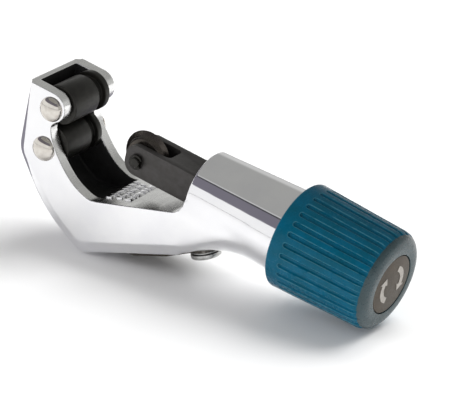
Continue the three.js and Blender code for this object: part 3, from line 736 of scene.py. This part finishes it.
def frame_shape():
    body = combine(leg_solid(), "INTERSECT", leg_envelope())
    above_end = (BARREL_FRONT_X + 1, BEYOND, TOP_Z + BEYOND)
    above = block("above", (BACK_X - 1, -BEYOND, TOP_Z), above_end)
    throat = prism("throat", throat_outline(), -BEYOND, BEYOND)
    slot = prism("slot", slot_outline(), -HALF_SLOT, HALF_SLOT)
    combine(body, "DIFFERENCE", above, throat, slot, *ledge_cutters())
    combine(body, "UNION", barrel_solid(FRAME_HIGH.x))
    half_width = SLIDE_HIGH.y + SLIDE_PLAY
    half_height = SLIDE_HIGH.z + SLIDE_PLAY
    channel = block(
        "channel",
        (BARREL_FRONT_X - CHANNEL_LEAD, -half_width, -half_height),
        (NUT_LOW.x, half_width, half_height),
    )
    pocket = rod("pocket", (NUT_LOW.x - GAP, BEYOND), NUT_R + GAP)
    combine(body, "DIFFERENCE", channel, pocket)
    for z in (ROLLER_Z, -ROLLER_Z):
        hole = rod("hole", (-BEYOND, BEYOND), PIN_HOLE_R, "Y", (ROLLER_X, 0, z))
        combine(body, "DIFFERENCE", hole)
    return body


VOXEL = 0.3
BLEND_REAR_X = -8
BLEND_TOP_Z = 6
BLEND_PASSES = 220


def cast(body):
    """One even skin with the small roundings of a polished casting."""
    step = body.modifiers.new("skin", "REMESH")
    step.mode = "VOXEL"
    step.voxel_size = VOXEL
    step.use_smooth_shade = True
    apply_modifiers(body)
    step = body.modifiers.new("polish", "SMOOTH")
    step.factor = 0.5
    step.iterations = 2
    apply_modifiers(body)
    blend_leg(body)
    return body


def blend_leg(body):
    """Melts the crease where the leg's flat side runs into the round barrel."""
    group = body.vertex_groups.new(name="blend")
    for vertex in body.data.vertices:
        x, y, z = vertex.co
        lengthwise = ease((x - BARREL_FRONT_X - 0.6) / 2) * ease((BLEND_REAR_X - x) / 6)
        height = ease((BLEND_TOP_Z - z) / 5)
        weight = lengthwise * height * ease((abs(y) - 3) / 3 + max(0, -z - 9))
        if weight > 0.01:
            group.add([vertex.index], weight, "REPLACE")
    step = body.modifiers.new("blend", "SMOOTH")
    step.factor = 0.5
    step.iterations = BLEND_PASSES
    step.vertex_group = "blend"
    apply_modifiers(body)


FINISHES = (CHROME, GROUND, SLOT_PAINTED_SHADE)


def finish_at(centre, normal):
    """Satin where the jaw's edges were ground, painted shade (near black) inside the roller slot,
    mirror elsewhere.
    """
    x, y, z = centre
    nx, ny, nz = normal
    if x > BARREL_FRONT_X - 0.6:
        return CHROME
    if x > FLOOR_START_X and nz > 0.6 and z > -FLOOR_START_DEPTH - 1:
        return GROUND
    # Inside the roller slot the faces get painted shade, not a different plating.
    if x < FLOOR_START_X and abs(y) < HALF_SLOT + 0.15 and z < TOP_Z - 0.3:
        outside = x < BACK_X + 0.5 or nz < -0.3
        return CHROME if outside else SLOT_PAINTED_SHADE
    if abs(ny) < 0.6 and nx + 0.5 * nz > 0 and x < FLOOR_START_X + 3:
        return GROUND
    return CHROME


def choose_finish(body):
    for material in FINISHES:
        body.data.materials.append(material)
    for face in body.data.polygons:
        face.material_index = FINISHES.index(finish_at(face.center, face.normal))


def make_frame():
    body = cast(frame_shape())
    body.name = "cast_frame"
    choose_finish(body)
    return place(body, "frame", [], ["frame"], 60)


make_frame()


def floor_point(share, y, rise):
    """A point above the throat's floor: share along its slope, and rise square to it."""
    x = FLOOR_START_X + share * (FLOOR_END_X - FLOOR_START_X)
    z = -FLOOR_START_DEPTH + share * (FLOOR_START_DEPTH - FLOOR_END_DEPTH)
    lean = math.atan(FLOOR_SLOPE)
    return Vector((x - rise * sin(lean), y, z + rise * cos(lean)))


def make_floor_marks():
    """Plain raised grip dashes across the throat's floor."""
    vertices = []
    faces = []
    rows = 3
    first_row = 0.02
    row_pitch = 0.13
    width = 0.075
    row_start = -9.2
    row_end = 9
    row_shift = 0.5
    space = 0.7
    lengths = (2.2, 1.1, 2.8, 1.6, 1.1, 2.2, 1.6, 2.8)
    for row in range(rows):
        y = row_start + row_shift * (row % 2)
        low = first_row + row * row_pitch
        for k in range(len(lengths)):
            length = lengths[(k + 4 * row) % len(lengths)]
            if y + length > row_end:
                break
            add_dash(vertices, faces, (low, low + width), (y, y + length))
            y += length + space
    marks = new_object("floor_marks", vertices, faces)
    soften(marks, 0.12, 2)
    return place(marks, "frame", [CHROME], angle=50)


def add_dash(vertices, faces, shares, ys):
    base = len(vertices)
    root = -0.3
    crest = 0.5
    for rise in (root, crest):
        for share, y in ((0, 0), (1, 0), (1, 1), (0, 1)):
            vertices.append(floor_point(shares[share], ys[y], rise))
    sides = ((0, 4, 5, 1), (1, 5, 6, 2), (2, 6, 7, 3), (3, 7, 4, 0))
    for face in ((0, 1, 2, 3), (7, 6, 5, 4), *sides):
        faces.append(tuple(base + i for i in face))


make_floor_marks()

# ---------------------------------------------------------------- rollers and their rivets


def roller_profile():
    """Plain roller with a groove near its far end, for flared pipe ends."""
    end = ROLLER_HIGH.y
    collar_width = 2.3
    groove_width = 3.6
    collar = end - collar_width
    groove = collar - groove_width
    roller_r = ROLLER_HIGH.x - ROLLER_X
    groove_r = 5.2
    hub_r = 4.0
    dish = 0.35
    dish_r = hub_r - 0.3
    bore = 2.8
    return rounded([
        (dish - end, bore, 0),
        (dish - end, dish_r, 0),
        (-end, hub_r, 0),
        (-end, roller_r, 0.35),
        (groove, roller_r, 0.3),
        (groove, groove_r, 0.3),
        (collar, groove_r, 0.3),
        (collar, roller_r, 0.3),
        (end, roller_r, 0.35),
        (end, hub_r, 0),
        (end - dish, dish_r, 0),
        (end - dish, bore, 0),
    ], 4)


def make_rollers():
    for name, z in (("upper_roller", ROLLER_Z), ("lower_roller", -ROLLER_Z)):
        shape = lathe(f"{name}_turned", roller_profile(), 96, "Y", (ROLLER_X, 0, z))
        place(shape, name, [OXIDE], [name])
        make_rivet(f"{name}_pin", z)


def make_rivet(node, z):
    seat_gap = 0.08
    face = HALF_WIDTH + seat_gap
    top = PIN_HIGH.y
    head_r = (PIN_HIGH.x - PIN_LOW.x) / 2
    steps = 20
    dome = [
        (face + (top - face) * cos(pi / 2 * i / steps), head_r * sin(pi / 2 * i / steps))
        for i in range(steps + 1)
    ]
    shank = 2.5
    profile = [(-a, r) for a, r in dome] + [(-face, shank), (face, shank)] + dome[::-1]
    shape = lathe(f"{node}_riveted", profile, 96, "Y", (ROLLER_X, 0, z))
    place(shape, "frame", [NICKEL], [node])


make_rollers()

# ---------------------------------------------------------------- slide and cutting wheel

EAR_HALF_GAP = 3.8
SLIDE_CORNER_R = 4.4
SLOT_END_X = WHEEL_HIGH.x + 1.8
WHEEL_PIN_R = 1.85
PIN_NECK_R = 1.2
PIN_NECK_END = 0.65
CLIP_HALF = 0.4
CLIP_OUTER_R = 2.65
CLIP_INNER_R = 1.4
CLIP_Y = -(SLIDE_HIGH.y + GAP + CLIP_HALF)


def make_slide():
    x0, x1 = SLIDE_LOW.x, SLIDE_HIGH.x
    half = SLIDE_HIGH.z
    outline = rounded([
        (x0, half, SLIDE_CORNER_R), (x0, -half, SLIDE_CORNER_R), (x1, -half, 0), (x1, half, 0),
    ], 12)
    body = prism("slide_block", outline, SLIDE_LOW.y, SLIDE_HIGH.y)
    corner = 1.6
    front = x0 - 9
    gap = EAR_HALF_GAP
    ears = upright_prism("ears", rounded([
        (front, -gap, 0), (SLOT_END_X, -gap, corner), (SLOT_END_X, gap, corner), (front, gap, 0),
    ], 5), -BEYOND, BEYOND)
    hole = rod("pin_hole", (-BEYOND, BEYOND), WHEEL_PIN_R + 0.15, "Y", (WHEEL_X, 0, 0))
    ball_room = 5.6
    bore_r = 3.3
    bore = rod("tip_bore", (SCREW_LOW.x - ball_room, BEYOND), bore_r)
    combine(body, "DIFFERENCE", ears, hole, bore)
    soften(body, 0.4, 3)
    place(body, "carriage", [PHOSPHATE], ["slide"])


def make_wheel():
    """Disc with a ground edge and a shallow dish round its bore."""
    radius = WHEEL_HIGH.x - WHEEL_X
    hub = WHEEL_HIGH.y
    dish = hub - 0.3
    half = [
        (0.02, radius, 0),
        (0.9, 7.5, 0.2),
        (2.2, 7.0, 0.3),
        (hub, 6.6, 0.3),
        (hub, 3.6, 0.1),
        (dish, 3.3, 0.1),
        (dish, WHEEL_PIN_R + 0.3, 0),
    ]
    mirrored = [(-along, r, fillet) for along, r, fillet in reversed(half)]
    shape = lathe("wheel_ground", rounded(mirrored + half, 4), 128, "Y", (WHEEL_X, 0, 0))
    place(shape, "cutting_wheel", [TOOL_STEEL], ["cutting_wheel"])


def make_wheel_pin():
    low, high = tool_box("wheel_pin")
    neck = CLIP_Y - PIN_NECK_END
    ear = SLIDE_HIGH.y
    head = high.y
    head_r = high.x - WHEEL_X
    corners = [
        (low.y, 0, 0), (low.y, WHEEL_PIN_R, 0.35), (neck, WHEEL_PIN_R, 0.08),
        (neck, PIN_NECK_R, 0), (-ear, PIN_NECK_R, 0), (-ear, WHEEL_PIN_R, 0),
        (ear + GAP, WHEEL_PIN_R, 0),
        (ear + GAP, head_r, 0.1), (head, head_r, 0.35), (head, 0, 0),
    ]
    shape = lathe("wheel_pin_turned", rounded(corners, 4), 64, "Y", (WHEEL_X, 0, 0))
    place(shape, "carriage", [OXIDE], ["wheel_pin"])


def make_clip():
    """Snap ring whose mouth points back along the slide."""
    mouth = radians(35)
    steps = 40
    sweep = 2 * pi - 2 * mouth
    angles = [mouth + sweep * i / steps for i in range(steps + 1)]
    outer = [CLIP_OUTER_R * Vector((cos(a), sin(a))) for a in angles]
    inner = [CLIP_INNER_R * p.normalized() for p in reversed(outer)]
    outline = [(p.x + WHEEL_X, p.y) for p in outer + inner]
    shape = prism("snap_ring", outline, CLIP_Y - CLIP_HALF, CLIP_Y + CLIP_HALF)
    soften(shape, 0.15, 2, 40)
    place(shape, "carriage", [OXIDE], ["wheel_pin_clip"])


make_slide()
make_wheel()
make_wheel_pin()
make_clip()

# ---------------------------------------------------------------- knob and feed screw


def knob_taper(x):
    return (KNOB_R - KNOB_END_R) * x / KNOB_STRAIGHT


def knob_section(x):
    """Outer radius without flutes."""
    radius = KNOB_R - min(knob_taper(x), KNOB_R - KNOB_END_R)
    if x < KNOB_RIM_ROUND:
        radius -= KNOB_RIM_ROUND - math.sqrt(KNOB_RIM_ROUND**2 - (KNOB_RIM_ROUND - x) ** 2)
    past = x - KNOB_STRAIGHT
    if past > 0:
        radius -= KNOB_END_ROUND - math.sqrt(max(0, KNOB_END_ROUND**2 - past**2))
    return radius


def knob_radius(x, angle):
    """Outer radius with the flutes, which begin round and have soft sides."""
    outer = knob_section(x)
    pitch = 2 * pi / FLUTES
    offset = (angle - FLUTE_PHASE + pitch / 2) % pitch - pitch / 2
    across = abs(offset) * KNOB_R
    end = max(0, FLUTE_START + FLUTE_HALF_WIDTH - x)
    distance = math.hypot(across, end)
    flat = 0.42
    depth = 1 - ease((distance / FLUTE_HALF_WIDTH - flat) / 0.58)
    bottom = min(outer, KNOB_R - knob_taper(x) - FLUTE_DEPTH)
    return outer - (outer - bottom) * depth


def knob_stations():
    """Places along the knob, close together at both rounds and where the flutes begin."""
    rim_steps = 6
    straight_steps = 26
    end_steps = 20
    stations = [KNOB_RIM_ROUND * (1 - cos(pi / 2 * i / rim_steps)) for i in range(rim_steps + 1)]
    stations += [1.6, 2.8, 3.6]
    x = FLUTE_START - 0.6
    while x < FLUTE_START + 2.2:
        stations.append(x)
        x += 0.14
    for i in range(straight_steps + 1):
        stations.append(x + (KNOB_STRAIGHT - x) * i / straight_steps)
    for i in range(1, end_steps + 1):
        stations.append(KNOB_STRAIGHT + KNOB_END_ROUND * sin(pi / 2 * i / end_steps))
    return stations


def radial_surface(name, stations, radius, sides, inner):
    """Closed solid of revolution whose outer radius varies round it; inner is a plain profile."""
    angles = [2 * pi * k / sides for k in range(sides)]
    sections = [(x, [radius(x, angle) for angle in angles]) for x in stations]
    sections += [(x, [r] * sides) for x, r in inner]
    vertices = []
    rings = []
    for x, radii in sections:
        rings.append(range(len(vertices), len(vertices) + sides))
        vertices += [(x, r * sin(angle), r * cos(angle)) for r, angle in zip(radii, angles)]
    faces = []
    for first, second in zip(rings, rings[1:] + rings[:1]):
        faces += band(first, second, sides)
    return new_object(name, vertices, faces)


def make_knob():
    flat_r = KNOB_END_R - KNOB_END_ROUND
    screw_hole_r = 4.4
    corners = [
        (KNOB_LENGTH, flat_r, 0),
        (KNOB_LENGTH, CAP_R + GAP, 0.2),
        (CAP_LOW.x - GAP, CAP_R + GAP, 0),
        (CAP_LOW.x - GAP, WELL_R, 0.1),
        (WELL_X, WELL_R, 0),
        (WELL_X, screw_hole_r, 0),
        (KNOB_WALL_X, screw_hole_r, 0),
        (KNOB_WALL_X, KNOB_BORE_R, 0.8),
        (KNOB_MOUTH_LENGTH + 1, KNOB_BORE_R, 1),
        (KNOB_MOUTH_LENGTH, KNOB_MOUTH_R, 1),
        (0, KNOB_MOUTH_R, 0.3),
        (0, KNOB_R - KNOB_RIM_ROUND, 0),
    ]
    inner = rounded(corners, 4)[1:-1]
    sides = FLUTES * 28
    shape = radial_surface("knob_moulded", knob_stations(), knob_radius, sides, inner)
    for material in (TEAL, TEAL_PAINTED_REFLECTION):
        shape.data.materials.append(material)
    # Faces on the rounded end get the greyer copy of the plastic: painted reflection.
    for face in shape.data.polygons:
        on_end = face.center.x - KNOB_STRAIGHT > KNOB_END_ROUND * 0.5
        face.material_index = 1 if on_end else 0
    place(shape, "knob", [], ["knob"], 70)


def make_cap():
    face = CAP_HIGH.x
    corners = [(CAP_LOW.x, 0, 0), (CAP_LOW.x, CAP_R, 0.1), (face, CAP_R, 0.3), (face, 0, 0)]
    shape = lathe("cap_disc", rounded(corners, 4), 128)
    place(shape, "knob", [BRONZE], ["knob_cap"])


def make_cap_arrows():
    """Two curved arrows: the way to turn the knob to feed the wheel."""
    low = CAP_HIGH.x - 0.3
    high = KNOB_LENGTH - 0.03
    inner_r = 4.6
    outer_r = 6.6
    barb = 1.3
    middle_r = (inner_r + outer_r) / 2
    sweep = radians(112)
    head = radians(26)
    steps = 24
    vertices = []
    faces = []
    for start in (radians(20), radians(200)):
        arc = [start + (sweep - head) * i / steps for i in range(steps + 1)]
        neck = start + sweep - head
        outline = [(outer_r, a) for a in arc] + [(outer_r + barb, neck)]
        outline += [(middle_r, start + sweep), (inner_r - barb, neck)]
        outline += [(inner_r, a) for a in reversed(arc)]
        faces += plate_faces(len(outline), len(vertices))
        for x in (low, high):
            vertices += [(x, r * sin(a), r * cos(a)) for r, a in outline]
    shape = new_object("cap_arrows", vertices, faces)
    place(shape, "knob", [SILVER])


THREAD_PITCH = 2
THREAD_ROOT = 3.85
THREAD_CREST = 4.35


def thread_radius(x, angle):
    """Right-hand thread about the axis that points to the knob."""
    turn = (x / THREAD_PITCH + angle / (2 * pi)) % 1
    flank = min(1, max(0, (abs(turn - 0.5) - 0.1) / 0.3))
    return THREAD_CREST - (THREAD_CREST - THREAD_ROOT) * flank


def make_screw():
    start = SLIDE_HIGH.x + 0.5
    end = KNOB_WALL_X - 1.25
    lead = 1.2

    def radius(x, angle):
        full = thread_radius(x, angle)
        near_end = min(1, (x - start) / lead, (end - x) / lead)
        return THREAD_ROOT + (full - THREAD_ROOT) * max(0, near_end)

    steps_per_turn = 12
    count = int((end - start) / THREAD_PITCH * steps_per_turn)
    stations = [start + (end - start) * i / count for i in range(count + 1)]
    tip = SCREW_LOW.x
    tip_r = 3
    neck = SLIDE_HIGH.x - 4
    neck_end = neck + 1.6
    neck_r = 1.9
    seat = KNOB_WALL_X - GAP
    collar_r = 4.9
    stub_r = 3.5
    back = SCREW_HIGH.x
    hole_end = back - 9
    hole_r = 2.1
    axis_r = 0.01
    ends = [
        (end, 4.6), (end, collar_r), (seat, collar_r), (seat, stub_r), (back, stub_r),
        (back, hole_r), (hole_end, hole_r), (hole_end, axis_r),
        (tip, axis_r), (tip, 2.5), (tip + 0.5, tip_r),
        (neck, tip_r), (neck, neck_r), (neck_end, neck_r), (neck_end, tip_r), (start, tip_r),
    ]
    shape = radial_surface("feed_screw_threaded", stations, radius, 48, ends)
    place(shape, "knob", [ZINC], ["feed_screw"])


make_knob()
make_cap()
make_cap_arrows()
make_screw()

# ---------------------------------------------------------------- reamer


def underside_matrix():
    """Axes of the leg's underside at the reamer's pivot: Z into the leg."""
    pivot = joint("reamer_swing")
    up = Vector(pivot["axis"]).normalized()
    across = Vector((0, 1, 0))
    along = across.cross(up)
    turn = Matrix((along, across, up)).transposed().to_4x4()
    return TO_TOOL @ Matrix.Translation(pivot["pos_m"]) @ turn @ Matrix.Scale(MM, 4)


UNDERSIDE = underside_matrix()
BLADE_GAP = 0.3
BLADE_TOP = -BLADE_GAP
BLADE_THICKNESS = 1.4
WASHER_THICKNESS = 0.5
BLADE_LENGTH = 39.8
BLADE_WIDE = (9.8, 23.5)
BLADE_HALF_WIDTH = 9.2
BLADE_ROOT_R = 5.3


def upright(name, profile):
    """Turned about the pivot's axis."""
    shape = lathe(name, profile, 64)
    shape.data.transform(Matrix.Rotation(-pi / 2, 4, "Y"))
    return shape


def make_reamer():
    low = BLADE_TOP - BLADE_THICKNESS
    root = radians(115)
    steps = 32
    outline = [
        Vector((BLADE_ROOT_R * cos(a), BLADE_ROOT_R * sin(a)))
        for a in (-root + 2 * root * i / steps for i in range(steps + 1))
    ]
    wide = BLADE_HALF_WIDTH
    near, far = (-along for along in BLADE_WIDE)
    tip = -BLADE_LENGTH
    outline += [Vector(p) for p in (
        (near, wide), (far, wide), (tip, 1), (tip, -1), (far, -wide), (near, -wide),
    )]
    blade = upright_prism("reamer_ground", outline, low, BLADE_TOP)
    hole_r = 2.6
    hole = upright("reamer_hole", [(-BEYOND, 0), (-BEYOND, hole_r), (BEYOND, hole_r), (BEYOND, 0)])
    combine(blade, "DIFFERENCE", hole)
    soften(blade, 0.35, 2)
    blade.data.transform(UNDERSIDE)
    place(blade, "reamer", [TOOL_STEEL], ["reamer_blade"])


def make_reamer_rivet():
    seat = -(2 * BLADE_GAP + BLADE_THICKNESS + WASHER_THICKNESS + GAP)
    face = seat - 1.6
    head_r = 5.2
    shank_r = 2.3
    shank_end = 7
    rivet = upright("reamer_rivet_turned", rounded([
        (face, 0, 0), (face, head_r, 0.6), (seat, head_r, 0.1),
        (seat, shank_r, 0), (shank_end, shank_r, 0), (shank_end, 0, 0),
    ], 5))
    rivet.data.transform(UNDERSIDE)
    place(rivet, "frame", [ZINC], ["reamer_rivet"])
    top = -(2 * BLADE_GAP + BLADE_THICKNESS)
    low = top - WASHER_THICKNESS
    washer = upright("spring_washer_pressed", rounded([
        (low, 2.6, 0), (low, 4.6, 0.12), (top, 4.6, 0.12), (top, 2.6, 0),
    ], 3))
    washer.data.transform(UNDERSIDE)
    place(washer, "frame", [ZINC], ["reamer_spring_washer"])


make_reamer()
make_reamer_rivet()

# ---------------------------------------------------------------- hidden pieces, as in the CAD

KEPT = {
    "thrust_ball": ZINC,
    "screw_retaining_clip": ZINC,
    "nut_locking_pin": ZINC,
    "knob_lock_washer": ZINC,
    "knob_screw": ZINC,
    "feed_nut": BRASS,
}
for name, material in KEPT.items():
    node = frame["nodes"][name]
    node.data.materials.clear()
    node.data.materials.append(material)

# ---------------------------------------------------------------- studio


def make_floor():
    material = bpy.data.materials.new("pale_floor")
    material.use_nodes = True
    shader = material.node_tree.nodes["Principled BSDF"]
    shader.inputs["Base Color"].default_value = colour(0.9, 0.9, 0.9)
    shader.inputs["Roughness"].default_value = 0.9
    shader.inputs["Specular IOR Level"].default_value = 0
    bpy.ops.mesh.primitive_plane_add(size=40)
    floor = bpy.context.object
    floor.name = "pale_floor"
    floor.data.materials.append(material)


def add_ramp(tree, value, stops):
    ramp = tree.nodes.new("ShaderNodeValToRGB")
    tree.links.new(value, ramp.inputs["Fac"])
    while len(ramp.color_ramp.elements) < len(stops):
        ramp.color_ramp.elements.new(0.5)
    for element, (position, tint) in zip(ramp.color_ramp.elements, stops):
        element.position = position
        element.color = colour(*tint)
    return ramp.outputs["Color"]


def make_world():
    """Colour by direction: a white wall in front with a dim violet panel and a few bands above
    it, a wall behind that is palest just above the floor, and grey overhead."""
    world = bpy.data.worlds.new("studio")
    bpy.context.scene.world = world
    world.use_nodes = True
    tree = world.node_tree
    background = tree.nodes["Background"]
    direction = tree.nodes.new("ShaderNodeTexCoord").outputs["Generated"]
    split = tree.nodes.new("ShaderNodeSeparateXYZ")
    tree.links.new(direction, split.inputs[0])
    white = (0.98, 0.98, 0.98)
    violet = (0.19, 0.18, 0.215)
    dark = (0.07, 0.07, 0.075)
    pale = (0.62, 0.62, 0.62)
    grey = (0.37, 0.37, 0.36)
    wall = (0.60, 0.60, 0.59)
    dim = (0.42, 0.42, 0.41)
    front = add_ramp(tree, split.outputs["Z"], [
        (0.0, white), (0.37, white), (0.40, violet), (0.705, violet), (0.71, dark), (0.74, dark),
        (0.75, pale), (0.76, pale), (0.775, grey), (1.0, grey),
    ])
    facing = tree.nodes.new("ShaderNodeVectorMath")
    facing.operation = "DOT_PRODUCT"
    facing.inputs[1].default_value = (-0.39, -0.92, 0)
    tree.links.new(direction, facing.inputs[0])
    back = add_ramp(tree, split.outputs["Z"], [(0.0, dim), (0.1, wall), (0.34, wall), (0.5, grey)])
    side = tree.nodes.new("ShaderNodeMapRange")
    side.inputs["From Min"].default_value = 0.0
    side.inputs["From Max"].default_value = 0.12
    tree.links.new(facing.outputs["Value"], side.inputs["Value"])
    mix = tree.nodes.new("ShaderNodeMix")
    mix.data_type = "RGBA"
    tree.links.new(side.outputs["Result"], mix.inputs["Factor"])
    tree.links.new(back, mix.inputs[6])
    tree.links.new(front, mix.inputs[7])
    tree.links.new(mix.outputs[2], background.inputs["Color"])


def light_floor_only(light):
    """Lights the floor alone, from behind, so that the shadow falls towards the viewer."""
    lit = bpy.data.collections.new("floor_only")
    lit.objects.link(bpy.data.objects["pale_floor"])
    light.light_linking.receiver_collection = lit


def make_flag():
    """A dim card on the floor past the heel and the far side, seen only in reflections."""
    material = bpy.data.materials.new("flag")
    material.use_nodes = True
    tree = material.node_tree
    glow = tree.nodes.new("ShaderNodeEmission")
    glow.inputs["Color"].default_value = colour(0.27, 0.26, 0.30)
    tree.links.new(glow.outputs[0], tree.nodes["Material Output"].inputs["Surface"])
    heel_x = CAD_BOX[0].x
    far_x = heel_x - 0.15
    near_y = -0.008
    far_y = 0.1
    above_floor = 0.0008
    corners = [(far_x, near_y), (heel_x + 0.03, near_y), (heel_x + 0.05, far_y), (far_x, far_y)]
    flag = new_object("flag", [(x, y, above_floor) for x, y in corners], [(0, 1, 2, 3)])
    flag.data.materials.append(material)
    flag.visible_camera = False
    flag.visible_diffuse = False
    flag.visible_shadow = False


def aim(obj, target):
    direction = Vector(target) - obj.location
    obj.rotation_euler = direction.to_track_quat("-Z", "Y").to_euler()


def add_light(name, location, target, size, power):
    data = bpy.data.lights.new(name, "AREA")
    data.shape = "SQUARE"
    data.size = size
    data.energy = power
    light = bpy.data.objects.new(name, data)
    light.location = location
    bpy.context.scene.collection.objects.link(light)
    aim(light, target)
    light.visible_glossy = False
    light.visible_camera = False
    return light


CAMERA_AZIMUTH = 33.93
CAMERA_ELEVATION = 23.48
CAMERA_ROLL = 1.8
CAMERA_DISTANCE = 1.061
CAMERA_TARGET = (0.0105, -0.0099, 0.0345)
CAMERA_LENS = 260.2


def make_camera():
    data = bpy.data.cameras.new("camera")
    data.lens = CAMERA_LENS
    data.sensor_width = 36
    data.clip_start = 0.01
    camera = bpy.data.objects.new("camera", data)
    turn = Matrix.Rotation(radians(CAMERA_AZIMUTH), 4, "Z")
    lift = Matrix.Rotation(radians(90 - CAMERA_ELEVATION), 4, "X")
    roll = Matrix.Rotation(radians(CAMERA_ROLL), 4, "Z")
    back = Matrix.Translation((0, 0, CAMERA_DISTANCE))
    camera.matrix_world = Matrix.Translation(CAMERA_TARGET) @ turn @ lift @ roll @ back
    bpy.context.scene.collection.objects.link(camera)
    bpy.context.scene.camera = camera


make_camera()
make_floor()
make_world()
add_light("soft_key", (-0.9, -1.1, 0.9), (0, 0, 0.02), size=1.0, power=8)
light_floor_only(add_light("floor_key", (0.35, 0.75, 1.1), (0, 0, 0), size=1.1, power=22))
make_flag()
bpy.context.scene.view_settings.view_transform = "Standard"
